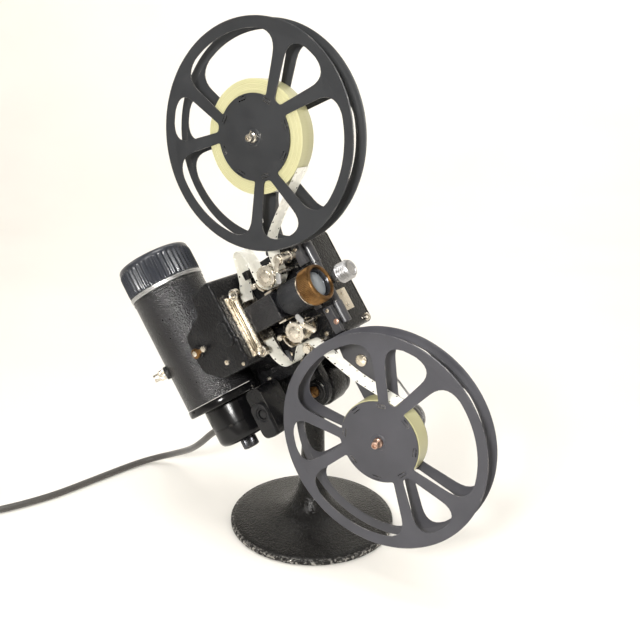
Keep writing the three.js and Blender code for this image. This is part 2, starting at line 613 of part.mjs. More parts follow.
const WHEEL_R = SPROCKET.dz - WORM.r - 0.4;
const lowerGear = ring(3.3, WHEEL_R, -49, -39, { axis: "y", segments: 18 });
add(head, "lower_gear", lowerGear.translate(SPROCKET.x, 0, sprocketZ[1]), BRASS);
const upperGear = turned(
  [[3.3, -49], [WHEEL_R, -49], [WHEEL_R, -39], [5, -39], [5, BELT.y - 3.5],
    [BELT.drive, BELT.y - 3.5], [BELT.drive - 1.8, BELT.y - 1.4], [BELT.drive - 1.8, BELT.y + 1.4],
    [BELT.drive, BELT.y + 3.5], [3.3, BELT.y + 3.5]],
  { axis: "y", segments: 18 },
);
add(head, "upper_gear", upperGear.translate(SPROCKET.x, 0, sprocketZ[0]), BRASS);

// A curved film shoe round part of a sprocket, with the boss that it swings on.
const SHOE = { inner: FILM_ON_SPROCKET + 1.1, outer: FILM_ON_SPROCKET + 2.6 };
function shoe(name, z, from, to, pivot) {
  const outline = [
    ...arc(SPROCKET.x, z, SHOE.outer, from, to, 8),
    ...arc(SPROCKET.x, z, SHOE.inner, to, from, 8),
  ].map(([x, y]) => new THREE.Vector2(x, y));
  const curved = plateXZ(new THREE.Shape(outline), -84, -68);
  const boss = disc(2.6, -84, -60.3, { axis: "y", segments: 16 }).translate(pivot[0], 0, pivot[1]);
  const tip = polar(SPROCKET.x, z, (SHOE.inner + SHOE.outer) / 2, pivot[2]);
  const web = block(
    [Math.min(pivot[0], tip[0]), -80, Math.min(pivot[1], tip[1]) - 0.9],
    [Math.max(pivot[0], tip[0]), -72, Math.max(pivot[1], tip[1]) + 0.9],
  );
  add(head, name, join(curved, boss, web), NICKEL);
}
shoe("upper_shoe", sprocketZ[0], -176, -132, [42.3, sprocketZ[0] - 2, -170]);
shoe("lower_shoe", sprocketZ[1], 178, 228, [42.3, sprocketZ[1] + 2, 184]);

function roller(name, x, z) {
  const profile = [[ROLLER.bore, -84], [ROLLER.r, -84], [ROLLER.r, -81.5], [3.9, -81], [3.9, -71],
    [ROLLER.r, -70.5], [ROLLER.r, -68], [ROLLER.bore, -68]];
  add(head, name, turned(profile, { axis: "y", segments: 12 }).translate(x, 0, z), NICKEL);
}
roller("upper_roller", ...UPPER_ROLLER);
roller("lower_roller", ...LOWER_ROLLER);

// ---- film, from the upper roll through both sprockets and the gate to the lower roll ----
const [sx, upZ, lowZ] = [SPROCKET.x, ...sprocketZ];
const rollerFilm = ROLLER.r + 0.6;
const leave = [77.5, 131.2];
const enter = [73.6, 27.5];
const filmPath = [
  tangent(UPPER_REEL.x, UPPER_REEL.z, UPPER_REEL.roll + 0.8, leave, 1),
  [100, 144.6],
  [84, 135],
  [75.5, 128],
  [71.6, 118],
  ...arc(sx, upZ, FILM_ON_SPROCKET, -16, -180, 9),
  [47.7, 113],
  [48.2, 122],
  [46.5, 131],
  [42, 135],
  [37.8, 131],
  [35, 121],
  [31.5, 111],
  [27, 103],
  [GATE_X + 0.2, 96],
  [GATE_X, 90],
  [GATE_X, 66],
  [GATE_X + 0.2, 58],
  [25.4, 48],
  [28.6, 38.5],
  [34, 32.8],
  [40.5, 32],
  [46, 34.8],
  [50.5, 39.6],
  ...arc(sx, lowZ, FILM_ON_SPROCKET, -108, -88, 2),
  ...arc(...LOWER_ROLLER, rollerFilm, 84, 28, 4),
  enter,
  [80, 14.5],
  [88, 0],
  tangent(LOWER_REEL.x, LOWER_REEL.z, LOWER_REEL.roll + 0.8, [88, 0], -1),
].map(([x, z]) => new THREE.Vector3(x, z, 0));

function ribbon(points, thickness) {
  const curve = new THREE.CatmullRomCurve3(points, false, "centripetal");
  const count = Math.round(1.6 * points.length);
  const sides = [1, -1].map((side) =>
    Array.from({ length: count + 1 }, (_, i) => {
      const p = curve.getPoint(i / count);
      const t = curve.getTangent(i / count);
      return new THREE.Vector2(p.x - (side * t.y * thickness) / 2, p.y + (side * t.x * thickness) / 2);
    }),
  );
  return new THREE.Shape([...sides[0], ...sides[1].reverse()]);
}
const half = FILM_W / 2;
add(head, "film_strip", plateXZ(ribbon(filmPath, FILM_T), FILM_Y - half, FILM_Y + half), FILM);

// ---- mains cord: gland, lead, coil and plug ----
const GLAND = { y: -30, z: 6, from: -56.3, to: -86 };
const gland = turned(
  [[0, GLAND.to], [3.4, GLAND.to], [4.6, GLAND.to + 8], [5.4, -66], [7, -64], [7, GLAND.from],
    [0, GLAND.from]],
  { axis: "x", segments: 20 },
);
add(head, "cord_gland", gland.translate(0, GLAND.y, GLAND.z), RUBBER);

head.updateMatrixWorld(true);
const exit = head.localToWorld(new THREE.Vector3(GLAND.to - GAP, GLAND.y, GLAND.z));
const straight = head.localToWorld(new THREE.Vector3(GLAND.to - 20, GLAND.y, GLAND.z));
const LIE = CORD.d / 2 + 0.3; // height of the cord's middle where it lies on the surface
const COIL = { x: -336, y: -178, r: 5.5 * CORD.d, half: (CORD.d * CORD.columns) / 2 };
const leadRoute = [
  exit.toArray(),
  straight.toArray(),
  [-96, -29, 83],
  [-112, -26, 67],
  [-128, -19.5, 53],
  [-148, -9.5, 38],
  [-170, -1.5, 25.5],
  [-190, 4, 14.5],
  [-206, 4, 7.2],
  [-216, -4.5, LIE + 0.3],
  [-221.5, -18, LIE],
  [-226, -37, LIE],
  [-231, -60, LIE],
  [-236, -83, LIE],
  [-241, -106, LIE],
  [-248, -126, LIE],
  [-256, -144, LIE],
  [-265, -160.5, LIE],
  [-273, -171.7, LIE],
  [-281.6, -183.7, LIE],
].map((p) => new THREE.Vector3(...p));

function tube(points, r, sides, steps) {
  const path = new THREE.CatmullRomCurve3(points, false, "centripetal");
  const options = { steps, extrudePath: path, curveSegments: sides, bevelEnabled: false };
  return new THREE.ExtrudeGeometry(circle(0, 0, r), options);
}
add(root, "cord_lead", tube(leadRoute, CORD.d / 2, 4, 34), RUBBER);
const coilTop = CORD.d * CORD.layers;
const coil = ring(COIL.r - COIL.half, COIL.r + COIL.half, 0.1, coilTop, { segments: 20 });
add(root, "cord_coil", coil.translate(COIL.x, COIL.y, 0), RUBBER);
const PLUG = { x: COIL.x - 34, y: COIL.y - COIL.r - COIL.half + CORD.d / 2, z: 9.8 };
const plugBody = turned(
  [[0, 0], [4.5, 0], [5.5, -8], [12, -16], [13, -31], [0, -31]],
  { axis: "x", segments: 20 },
);
const pins = [-6.4, 6.4].map((y) => block([-48, y - 3.2, -0.8], [-30, y + 3.2, 0.8]));
const plug = join(common(plugBody, block([-40, -14, -9.6], [1, 14, 9.6])), ...pins);
add(root, "plug", plug.translate(PLUG.x, PLUG.y, PLUG.z), BAKELITE);

export default root;
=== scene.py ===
"""Looks of the film projector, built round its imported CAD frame.

Lengths are in millimetres in the head's own level frame (tilt pin at the origin, X along the
lens, Z up, Y away from the film side) unless a piece is placed in the row frame.
"""
import json
import math
import random

import bmesh
import bpy
from mathutils import Matrix, Vector


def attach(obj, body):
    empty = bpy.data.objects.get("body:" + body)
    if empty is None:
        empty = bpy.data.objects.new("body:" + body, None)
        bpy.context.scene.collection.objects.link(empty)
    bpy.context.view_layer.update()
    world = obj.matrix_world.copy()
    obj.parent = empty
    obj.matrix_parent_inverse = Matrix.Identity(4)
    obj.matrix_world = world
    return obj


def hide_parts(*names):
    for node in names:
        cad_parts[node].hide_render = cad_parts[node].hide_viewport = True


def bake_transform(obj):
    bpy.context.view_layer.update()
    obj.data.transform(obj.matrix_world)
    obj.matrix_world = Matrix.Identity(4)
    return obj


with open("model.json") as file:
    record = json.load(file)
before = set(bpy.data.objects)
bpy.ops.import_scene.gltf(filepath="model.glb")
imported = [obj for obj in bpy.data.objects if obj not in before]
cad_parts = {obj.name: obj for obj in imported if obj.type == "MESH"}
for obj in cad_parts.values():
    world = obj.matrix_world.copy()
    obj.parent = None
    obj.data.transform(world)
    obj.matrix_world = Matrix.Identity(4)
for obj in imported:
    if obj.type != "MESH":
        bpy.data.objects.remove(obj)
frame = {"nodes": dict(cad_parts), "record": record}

for leftover in ("Cube", "Light", "Camera"):
    if leftover in bpy.data.objects:
        bpy.data.objects.remove(bpy.data.objects[leftover])
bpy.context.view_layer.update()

# ---- shared dimensions, as in the CAD ----
MM = 0.001
TILT = math.radians(34)
HEAD = Matrix.Translation((0.013, 0, 0.146)) @ Matrix.Rotation(-TILT, 4, "Y")
ROW = Matrix.Identity(4)
FILM_Y = -76
OPTIC_Z = 79.2
UPPER_REEL = (111.6, 201, 44)  # x, z, radius of the wound film
LOWER_REEL = (83.2, -53, 34)
LAMP_X = -51
MOTOR_AXIS = (LAMP_X, -72, 0)
SHUTTER_AXIS = (0, -44, OPTIC_Z)
LENS_AXIS = (0, FILM_Y, OPTIC_Z)
SPROCKET_X, UPPER_Z, LOWER_Z = 58.5, 104.7, 53.7
ROLLERS = (("upper", 77.4, 110.5), ("lower", 62.5, 37.2))
CORD_D = 6.8


def row_at(x, y, z):
    return Matrix.Translation(Vector((x, y, z)) * MM)


def head_at(x, y, z):
    return HEAD @ row_at(x, y, z)


def add_object(name, data):
    obj = bpy.data.objects.new(name, data)
    bpy.context.scene.collection.objects.link(obj)
    return obj


def evaluated_mesh(obj):
    bpy.context.view_layer.update()
    return bpy.data.meshes.new_from_object(
        obj.evaluated_get(bpy.context.evaluated_depsgraph_get()))


# ---- camera ----
FOCAL_PX, CENTRE_Y, IMAGE, SENSOR = 773.78, 306.16, 640, 36
AZ, EL, ROLL = (math.radians(a) for a in (31.00, 16.32, 1.10))
forward = Vector((-math.sin(AZ) * math.cos(EL), math.cos(AZ) * math.cos(EL), -math.sin(EL)))
level = Vector((math.cos(AZ), math.sin(AZ), 0))
upright = level.cross(forward)
right = level * math.cos(ROLL) + upright * math.sin(ROLL)
up = upright * math.cos(ROLL) - level * math.sin(ROLL)
camera_data = bpy.data.cameras.new("camera")
camera = add_object("camera", camera_data)
camera_data.sensor_width = SENSOR
camera_data.lens = SENSOR * FOCAL_PX / IMAGE
camera_data.shift_y = (CENTRE_Y - IMAGE / 2) / IMAGE
camera_data.clip_start = 0.01
facing = Matrix((right, up, -forward)).transposed().to_4x4()
camera.matrix_world = row_at(353.416, -580.326, 418.984) @ facing
bpy.context.scene.camera = camera


# ---- materials ----
class Look:
    """A node material with a few shorthands."""

    def __init__(self, name, color, metallic=0.0, rough=0.4, **sockets):
        self.material = bpy.data.materials.new(name)
        self.material.use_nodes = True
        self.tree = self.material.node_tree
        self.shader = self.tree.nodes["Principled BSDF"]
        self.coords = self.node("ShaderNodeTexCoord").outputs["Object"]
        self.set("Base Color", (*color, 1))
        self.set("Metallic", metallic)
        self.set("Roughness", rough)
        for key, value in sockets.items():
            self.set(key.replace("_", " "), value)
        self.bumps = None

    def node(self, kind, **values):
        node = self.tree.nodes.new(kind)
        for key, value in values.items():
            setattr(node, key, value)
        return node

    def set(self, socket, value):
        self.shader.inputs[socket].default_value = value

    def link(self, output, socket):
        self.tree.links.new(output, socket)

    def feed(self, value, socket, alpha=()):
        """A constant or a link into a socket."""
        if isinstance(value, (int, float)):
            socket.default_value = value
        elif isinstance(value, tuple):
            socket.default_value = (*value, *alpha)
        else:
            self.link(value, socket)

    def noise(self, scale, detail=3, distortion=0.0, stretch=None):
        node = self.node("ShaderNodeTexNoise")
        node.inputs["Scale"].default_value = scale
        node.inputs["Detail"].default_value = detail
        node.inputs["Distortion"].default_value = distortion
        vector = self.coords
        if stretch is not None:
            vector = self.vector("MULTIPLY", vector, stretch).outputs[0]
        self.link(vector, node.inputs["Vector"])
        return node.outputs["Fac"]

    def vector(self, operation, *values):
        node = self.node("ShaderNodeVectorMath", operation=operation)
        for socket, value in zip(node.inputs, values):
            self.feed(value, socket)
        return node

    def cells(self, scale):
        node = self.node("ShaderNodeTexVoronoi")
        node.inputs["Scale"].default_value = scale
        self.link(self.coords, node.inputs["Vector"])
        return node.outputs["Distance"]

    def ramp(self, source, low, high, out=(0.0, 1.0)):
        node = self.node("ShaderNodeMapRange")
        for socket, value in zip(("From Min", "From Max", "To Min", "To Max"), (low, high, *out)):
            node.inputs[socket].default_value = value
        self.link(source, node.inputs["Value"])
        return node.outputs["Result"]

    def spots(self, scale, detail, low, high, out=(0.0, 1.0)):
        """Soft patches: noise stretched between two levels."""
        return self.ramp(self.noise(scale, detail), low, high, out)

    def maths(self, operation, a, b):
        node = self.node("ShaderNodeMath", operation=operation)
        for socket, value in zip(node.inputs, (a, b)):
            self.feed(value, socket)
        return node.outputs[0]

    def mix(self, mask, a, b):
        node = self.node("ShaderNodeMix", data_type="RGBA")
        self.link(mask, node.inputs[0])
        for socket, value in zip(node.inputs[6:8], (a, b)):
            self.feed(value, socket, (1,))
        return node.outputs[2]

    def bump(self, height, distance, strength):
        node = self.node("ShaderNodeBump")
        node.inputs["Distance"].default_value = distance
        node.inputs["Strength"].default_value = strength
        self.link(height, node.inputs["Height"])
        if self.bumps is not None:
            self.link(self.bumps, node.inputs["Normal"])
        self.bumps = node.outputs["Normal"]
        self.link(self.bumps, self.shader.inputs["Normal"])

    def color(self, output):
        self.link(output, self.shader.inputs["Base Color"])

    def rough(self, output):
        self.link(output, self.shader.inputs["Roughness"])

    def wear(self, amount, patch_scale=160, radius=0.0006):
        """Paint rubbed to bare metal along sharp edges, in patches."""
        patches = self.spots(patch_scale, 4, 0.62 - amount * 0.3, 0.72 - amount * 0.2)
        bevel = self.node("ShaderNodeBevel", samples=4)
        bevel.inputs["Radius"].default_value = radius
        geometry = self.node("ShaderNodeNewGeometry")
        dot = self.vector("DOT_PRODUCT", bevel.outputs["Normal"], geometry.outputs["Normal"])
        return self.maths("MULTIPLY", self.ramp(dot.outputs["Value"], 0.995, 0.86), patches)

    def worn_paint(self, mask, tone, bare):
        self.color(self.mix(mask, tone, bare))
        self.link(mask, self.shader.inputs["Metallic"])


def lighter(color, factor, lift=0.0):
    return tuple(c * factor + lift for c in color)


def crackle(name, color, cell, worn, shine, depth, chips_below=None, gloss=0.22):
    """Wrinkled black paint; below the height chips_below (metres) it is chipped off."""
    look = Look(name, color, rough=shine, Specular_IOR_Level=gloss)
    wrinkle = look.maths("ADD", look.noise(cell, 2, 1.2),
                         look.maths("MULTIPLY", look.cells(cell * 0.8), 0.9))
    look.bump(wrinkle, depth, 0.85)
    look.rough(look.spots(320, 4, 0.3, 0.7, (shine * 0.75, shine * 1.25)))
    worn_mask = look.wear(worn)
    if chips_below:
        parts = look.node("ShaderNodeSeparateXYZ")
        look.link(look.coords, parts.inputs[0])
        low = look.ramp(parts.outputs["Z"], chips_below, chips_below - 0.0012)
        chips = look.maths("MULTIPLY", low, look.spots(380, 5, 0.5, 0.58))
        worn_mask = look.maths("MAXIMUM", worn_mask, chips)
    tone = look.mix(look.spots(40, 3, 0.35, 0.7), color, lighter(color, 1.9, 0.004))
    look.worn_paint(worn_mask, tone, (0.36, 0.35, 0.33))
    return look.material


def enamel(name, color, rough, worn, grain, coat, gloss=0.5):
    look = Look(name, color, rough=rough, Specular_IOR_Level=gloss, Coat_Weight=coat,
                Coat_Roughness=0.08)
    look.bump(look.noise(260, 3), grain * 4, 0.5)
    look.bump(look.noise(2600, 2), grain, 0.6)
    look.rough(look.spots(70, 5, 0.35, 0.75, (rough, rough + 0.16)))
    worn_mask = look.wear(worn, 110, 0.0004)
    tone = look.mix(look.spots(24, 3, 0.3, 0.7), color, lighter(color, 1.35, 0.002))
    look.worn_paint(worn_mask, tone, (0.42, 0.4, 0.37))
    return look.material


def metal(name, color, dark, rough, stain, scratch=(1, 1, 1)):
    look = Look(name, color, metallic=1.0, rough=rough)
    stains = look.ramp(look.noise(60, 6, 0.6), 0.42, 0.78)
    grime = look.spots(420, 4, 0.5, 0.8)
    mask = look.maths("ADD", stains, look.maths("MULTIPLY", grime, 0.4))
    look.color(look.mix(look.maths("MULTIPLY", mask, stain), color, dark))
    look.rough(look.spots(230, 5, 0.25, 0.75, (rough * 0.7, rough * 1.7)))
    look.bump(look.noise(900, 3, 0, scratch), 0.00003, 0.5)
    return look.material


def bakelite():
    look = Look("bakelite", (0.008, 0.008, 0.009), rough=0.42, Specular_IOR_Level=0.25)
    look.color(look.mix(look.spots(900, 3, 0.45, 0.75), (0.007, 0.007, 0.008),
                        (0.016, 0.016, 0.017)))
    look.rough(look.spots(140, 4, 0.3, 0.7, (0.33, 0.55)))
    look.bump(look.noise(1700, 3), 0.00004, 0.6)
    return look.material


def film_base(name, tone, shade, rings=False):
    look = Look(name, tone, rough=0.3, Coat_Weight=0.3, Coat_Roughness=0.15)
    look.color(look.mix(look.spots(45, 3, 0.3, 0.75), tone, shade))
    if not rings:
        look.rough(look.spots(120, 3, 0.3, 0.7, (0.18, 0.36)))
        return look.material
    # Edges of the wound turns: distance from the reel's axis drives fine rings.
    flat = look.vector("MULTIPLY", look.coords, (1, 0, 1))
    length = look.vector("LENGTH", flat.outputs[0])
    turns = look.node("ShaderNodeTexNoise", noise_dimensions="1D")
    turns.inputs["Scale"].default_value = 2400
    turns.inputs["Detail"].default_value = 2
    look.link(length.outputs["Value"], turns.inputs["W"])
    look.color(look.mix(look.ramp(turns.outputs["Fac"], 0.35, 0.65), tone, shade))
    look.bump(turns.outputs["Fac"], 0.00025, 0.8)
    look.rough(look.ramp(turns.outputs["Fac"], 0.3, 0.7, (0.35, 0.6)))
    return look.material


def glass(name, tint, clear=1.0):
    look = Look(name, tint, rough=0.02, Transmission_Weight=clear, IOR=1.52)
    look.rough(look.spots(90, 4, 0.4, 0.8, (0.015, 0.08)))
    look.color(look.mix(look.spots(30, 2, 0.3, 0.7), tint, lighter(tint, 0.93)))
    return look.material


def fibres(name, color, scale, depth, rough):
    look = Look(name, color, rough=rough, Sheen_Weight=0.25)
    look.color(look.mix(look.spots(scale, 4, 0.3, 0.7), color, lighter(color, 1.7)))
    look.rough(look.spots(60, 3, 0.3, 0.7, (rough - 0.12, rough + 0.1)))
    look.bump(look.noise(scale * 1.5, 4, 0.4), depth, 0.7)
    return look.material


CRACKLE = crackle("black_crackle", (0.004, 0.004, 0.005), 900, 0.35, 0.22, 0.00045, gloss=0.5)
IRON = crackle("pedestal_crackle", (0.004, 0.0037, 0.0034), 560, 0.4, 0.24, 0.0004, 0.0058)
BARREL = crackle("fine_crackle", (0.009, 0.0095, 0.011), 1300, 0.15, 0.34, 0.0003)
CASTING = crackle("glossy_crackle", (0.0035, 0.0035, 0.004), 620, 0.3, 0.17, 0.00035)
GLOSS = enamel("gloss_black", (0.0025, 0.0025, 0.003), 0.12, 0.2, 0.00002, 0.0, 0.3)
CASE_BLACK = enamel("case_black", (0.0035, 0.0035, 0.004), 0.2, 0.6, 0.00006, 0.0, 0.25)
CAP_BLUE = enamel("cap_blue_black", (0.014, 0.016, 0.022), 0.28, 0.45, 0.00003, 0.2)
REEL = enamel("reel_grey", (0.034, 0.034, 0.041), 0.44, 0.35, 0.00003, 0.0)
# Darker copy of the reel paint for the upper reel: its extra darkness is painted shade, not a
# different paint.
REEL_PAINTED_SHADE = enamel("reel_grey_painted_shade", (0.011, 0.012, 0.014), 0.44, 0.35, 0.00003, 0.0)
GREY = enamel("grey_paint", (0.03, 0.03, 0.034), 0.28, 0.75, 0.00003, 0.1)
NICKEL = metal("nickel", (0.76, 0.71, 0.62), (0.34, 0.26, 0.17), 0.22, 0.5)
BRIGHT = metal("bright_nickel", (0.68, 0.62, 0.52), (0.34, 0.27, 0.18), 0.2, 0.5)
STEEL = metal("steel", (0.52, 0.52, 0.53), (0.24, 0.22, 0.2), 0.3, 0.4)
GUNMETAL = metal("gunmetal", (0.09, 0.092, 0.1), (0.03, 0.03, 0.032), 0.25, 0.5)
ALUMINIUM = metal("aluminium", (0.52, 0.52, 0.52), (0.3, 0.3, 0.29), 0.36, 0.35, (0.1, 0.1, 6))
BRASS = metal("aged_brass", (0.23, 0.125, 0.047), (0.055, 0.03, 0.015), 0.32, 0.95)
COPPER = metal("copper_screw", (0.62, 0.42, 0.33), (0.22, 0.12, 0.08), 0.28, 0.7)
BAKELITE = bakelite()
FILM = film_base("film", (0.95, 0.94, 0.87), (0.9, 0.88, 0.78))
FILM_ROLL = film_base("film_roll", (0.52, 0.5, 0.29), (0.3, 0.28, 0.14), rings=True)
GLASS = glass("lamp_glass", (0.93, 0.95, 0.96))
# Lens glass only about half clear, with a light grey-blue body: a painted reflection giving the
# glass its milky grey look.
LENS_GLASS_PAINTED_REFLECTION = glass("lens_glass", (0.42, 0.46, 0.5), 0.55)
# Opaque dark blue-grey for the inner lens element: the blue tint is the coating's, the grey of its
# opaque body is a painted reflection.
COATED_PAINTED_REFLECTION = enamel("coated_glass_painted_reflection", (0.09, 0.11, 0.125), 0.05, 0.0, 0.000002, 1.0)
FELT = fibres("felt", (0.03, 0.045, 0.03), 1400, 0.0003, 0.95)
CORD = fibres("cord_rubber", (0.035, 0.032, 0.028), 700, 0.00006, 0.5)

# By material slot. The first of each also finishes the CAD pieces that stay as they are.
LOOKS = {
    "black_crackle": (CRACKLE, IRON, BARREL, CASTING), "gloss_black": (CASE_BLACK, GLOSS, CAP_BLUE),
    "reel_grey": (REEL, REEL_PAINTED_SHADE), "grey_paint": (GREY,), "nickel": (NICKEL, BRIGHT),
    "steel": (STEEL,), "aluminium": (ALUMINIUM,), "brass": (BRASS, COPPER, GUNMETAL),
    "bakelite": (BAKELITE,), "glass": (GLASS, LENS_GLASS_PAINTED_REFLECTION, COATED_PAINTED_REFLECTION), "film": (FILM, FILM_ROLL),
    "felt": (FELT,), "cord_rubber": (CORD,),
}

# ---- geometry: (vertices, faces) in millimetres ----
MERGE = 1e-4  # vertices nearer than this are one

def lathe(profile, axis="z", seg=72, at=(0, 0, 0), flutes=0, depth=0.0):
    """A turned piece from (radius, height) points. With flutes, points marked True ripple."""
    points = [(p[0], p[1], len(p) > 2 and p[2]) for p in profile]
    closed = points[0][0] > 1e-6 or points[-1][0] > 1e-6
    verts, rows = [], []
    for r, h, ripple in points:
        if r < 1e-6:
            rows.append([len(verts)] * seg)
            verts.append((0, 0, h))
            continue
        rows.append(list(range(len(verts), len(verts) + seg)))
        for i in range(seg):
            a = 2 * math.pi * i / seg
            cut = depth * (0.5 - 0.5 * math.cos(flutes * a)) if ripple and flutes else 0
            verts.append(((r - cut) * math.cos(a), (r - cut) * math.sin(a), h))
    faces = []
    pairs = list(zip(rows, rows[1:])) + ([(rows[-1], rows[0])] if closed else [])
    for low, high in pairs:
        for i in range(seg):
            j = (i + 1) % seg
            face = [low[i], low[j], high[j], high[i]]
            face = [v for k, v in enumerate(face) if v != face[k - 1]]
            if len(face) > 2:
                faces.append(face)
    return moved((verts, faces), at, axis)


TURNS = {
    "z": Matrix.Identity(3),
    "x": Matrix(((0, 0, 1), (0, 1, 0), (-1, 0, 0))),
    "y": Matrix(((1, 0, 0), (0, 0, 1), (0, -1, 0))),
}


def moved(geo, at=(0, 0, 0), axis="z", spin=0.0, matrix=None):
    """Spin in degrees about the piece's own axis, which is then turned to X, Y or Z."""
    turn = TURNS[axis] @ Matrix.Rotation(math.radians(spin), 3, "Z")
    if matrix is not None:
        turn = matrix
    shift = Vector(at)
    return [tuple(turn @ Vector(v) + shift) for v in geo[0]], geo[1]


def combine(*geos):
    verts, faces = [], []
    for v, f in geos:
        faces += [[i + len(verts) for i in face] for face in f]
        verts += v
    return verts, faces


def box(low, high):
    xs, ys, zs = zip(low, high)
    faces = [[0, 1, 3, 2], [4, 6, 7, 5], [0, 4, 5, 1], [2, 3, 7, 6], [0, 2, 6, 4], [1, 5, 7, 3]]
    return [(x, y, z) for x in xs for y in ys for z in zs], faces


def from_bmesh(bm):
    bm.verts.index_update()
    out = [tuple(v.co) for v in bm.verts], [[v.index for v in f.verts] for f in bm.faces]
    bm.free()
    return out


def to_bmesh(geo):
    bm = bmesh.new()
    verts = [bm.verts.new(v) for v in geo[0]]
    for face in geo[1]:
        if len(set(face)) > 2:
            try:
                bm.faces.new([verts[i] for i in face])
            except ValueError:
                pass
    bmesh.ops.remove_doubles(bm, verts=bm.verts, dist=MERGE)
    bmesh.ops.recalc_face_normals(bm, faces=bm.faces)
    return bm


def to_mesh(name, geo):
    bm = to_bmesh(geo)
    mesh = bpy.data.meshes.new(name)
    bm.to_mesh(mesh)
    bm.free()
    return mesh


def soften(geo, width=0.3, segments=2):
    """Rounds every edge sharper than 30 degrees."""
    bm = to_bmesh(geo)
    limit = math.radians(30)
    sharp = [e for e in bm.edges if len(e.link_faces) == 2 and e.calc_face_angle(0) > limit]
    bmesh.ops.bevel(bm, geom=sharp, offset=width, segments=segments, profile=0.6,
                    affect="EDGES", clamp_overlap=True)
    return from_bmesh(bm)


def block(low, high, width, segments=2):
    return soften(box(low, high), width, segments)


def plate(outline, y0, y1, holes=()):
    """A flat plate between y0 and y1 with an outline in X and Z."""
    data = bpy.data.curves.new("outline", "CURVE")
    data.dimensions = "2D"
    data.fill_mode = "BOTH"
    data.extrude = (y1 - y0) / 2
    for loop in [outline, *holes]:
        spline = data.splines.new("POLY")
        spline.points.add(len(loop) - 1)
        spline.use_cyclic_u = True
        for point, (u, v) in zip(spline.points, loop):
            point.co = (u, v, 0, 1)
    obj = bpy.data.objects.new("outline", data)
    mesh = bpy.data.meshes.new_from_object(obj)
    bm = bmesh.new()
    bm.from_mesh(mesh)
    bmesh.ops.remove_doubles(bm, verts=bm.verts, dist=MERGE)
    bmesh.ops.dissolve_limit(bm, angle_limit=0.002, verts=bm.verts, edges=bm.edges)
    geo = from_bmesh(bm)
    bpy.data.objects.remove(obj)
    bpy.data.curves.remove(data)
    bpy.data.meshes.remove(mesh)
    return moved(geo, (0, (y0 + y1) / 2, 0), matrix=Matrix(((1, 0, 0), (0, 0, -1), (0, 1, 0))))


def arc(cx, cz, r, start, end, count):
    angles = [math.radians(start + (end - start) * i / (count - 1)) for i in range(count)]
    return [(cx + r * math.cos(a), cz + r * math.sin(a)) for a in angles]


def circle(cx, cz, r, count=72):
    return arc(cx, cz, r, 0, 360, count + 1)[:-1]


def bend(a, corner, b, steps=7):
    """A curve from a to b that leans towards a corner."""
    return [tuple(a * (1 - t) ** 2 + corner * 2 * t * (1 - t) + b * t * t)
            for t in (k / steps for k in range(steps + 1))]


def rounded(points, r, steps=5):
    """A closed outline through points with rounded corners."""
    out = []
    corners = [Vector(p) for p in points]
    for i, p in enumerate(corners):
        before, after = corners[i - 1], corners[(i + 1) % len(corners)]
        start = p + (before - p).normalized() * min(r, (before - p).length * 0.45)
        end = p + (after - p).normalized() * min(r, (after - p).length * 0.45)
        out += bend(start, p, end, steps)
    return out


def capsule(x0, z0, x1, z1, r, count=12):
    """An outline of a bar with round ends between two points."""
    a = math.degrees(math.atan2(z1 - z0, x1 - x0))
    return arc(x1, z1, r, a - 90, a + 90, count) + arc(x0, z0, r, a + 90, a + 270, count)


def boolean(operation, base, tools):
    made = []
    for k, geo in enumerate([base, *tools]):
        made.append(add_object(f"part{k}", to_mesh(f"part{k}", geo)))
    for tool in made[1:]:
        modifier = made[0].modifiers.new("cut", "BOOLEAN")
        modifier.operation = operation
        modifier.solver = "EXACT"
        modifier.object = tool
    mesh = evaluated_mesh(made[0])
    geo = [tuple(v.co) for v in mesh.vertices], [list(p.vertices) for p in mesh.polygons]
    for obj in made:
        data = obj.data
        bpy.data.objects.remove(obj)
        bpy.data.meshes.remove(data)
    bpy.data.meshes.remove(mesh)
    return geo


def union(base, *others):
    return boolean("UNION", base, others)


def minus(base, *tools):
    return boolean("DIFFERENCE", base, tools)


def disc(r, low, high, axis="z", at=(0, 0, 0), seg=72, edge=0.0):
    e = min(edge, abs(high - low) / 2.1)
    if e:
        f = 0.3 * e
        profile = [(0, low), (r - e, low), (r - f, low + f), (r, low + e), (r, high - e),
                   (r - f, high - f), (r - e, high), (0, high)]
    else:
        profile = [(0, low), (r, low), (r, high), (0, high)]
    return lathe(profile, axis, seg, at)


def ring(inner, outer, low, high, axis="z", at=(0, 0, 0), seg=72):
    return lathe([(inner, low), (outer, low), (outer, high), (inner, high)], axis, seg, at)


def piece(name, geo, look, cad=None, body="head", place=HEAD, smooth=32):
    """One visible piece, riding on its body and standing for a CAD node if it names one."""
    mesh = to_mesh(name, geo)
    mesh.transform(place.to_3x3().to_4x4() @ Matrix.Scale(MM, 4))
    obj = add_object(name, mesh)
    obj.matrix_world = Matrix.Translation(place.to_translation())
    for polygon in mesh.polygons:
        polygon.use_smooth = True
    mesh.set_sharp_from_angle(angle=math.radians(smooth))
    mesh.materials.append(look)
    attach(obj, body)
    if cad:
        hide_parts(cad)
    return obj


def screw(at, r, axis="y", sign=-1, height=1.2, spin=20):
    """A slotted screw head standing on a face; sign is the way it faces along its axis."""
    dome = lathe([(0, 0), (r, 0), (r, height * 0.45), (r * 0.93, height * 0.75),
                  (r * 0.6, height), (0, height * 1.08)], seg=32)
    slot = box((-r * 1.2, -r * 0.13, height * 0.45), (r * 1.2, r * 0.13, height * 2))
    geo = moved(minus(dome, slot), spin=spin)
    if sign < 0:
        geo = moved(geo, matrix=Matrix.Rotation(math.pi, 3, "X"))
    return moved(geo, at, axis)


def screws(name, r, height, y, places, look=None):
    """Screw heads facing the film side, at (x, z, spin) on the face at y."""
    heads = [screw((x, y, z), r, height=height, spin=a) for x, z, a in places]
    return piece(name, combine(*heads), look or NICKEL)


def between(a, b, from_t, to_t, t):
    return a * ((to_t - t) / (to_t - from_t)) + b * ((t - from_t) / (to_t - from_t))


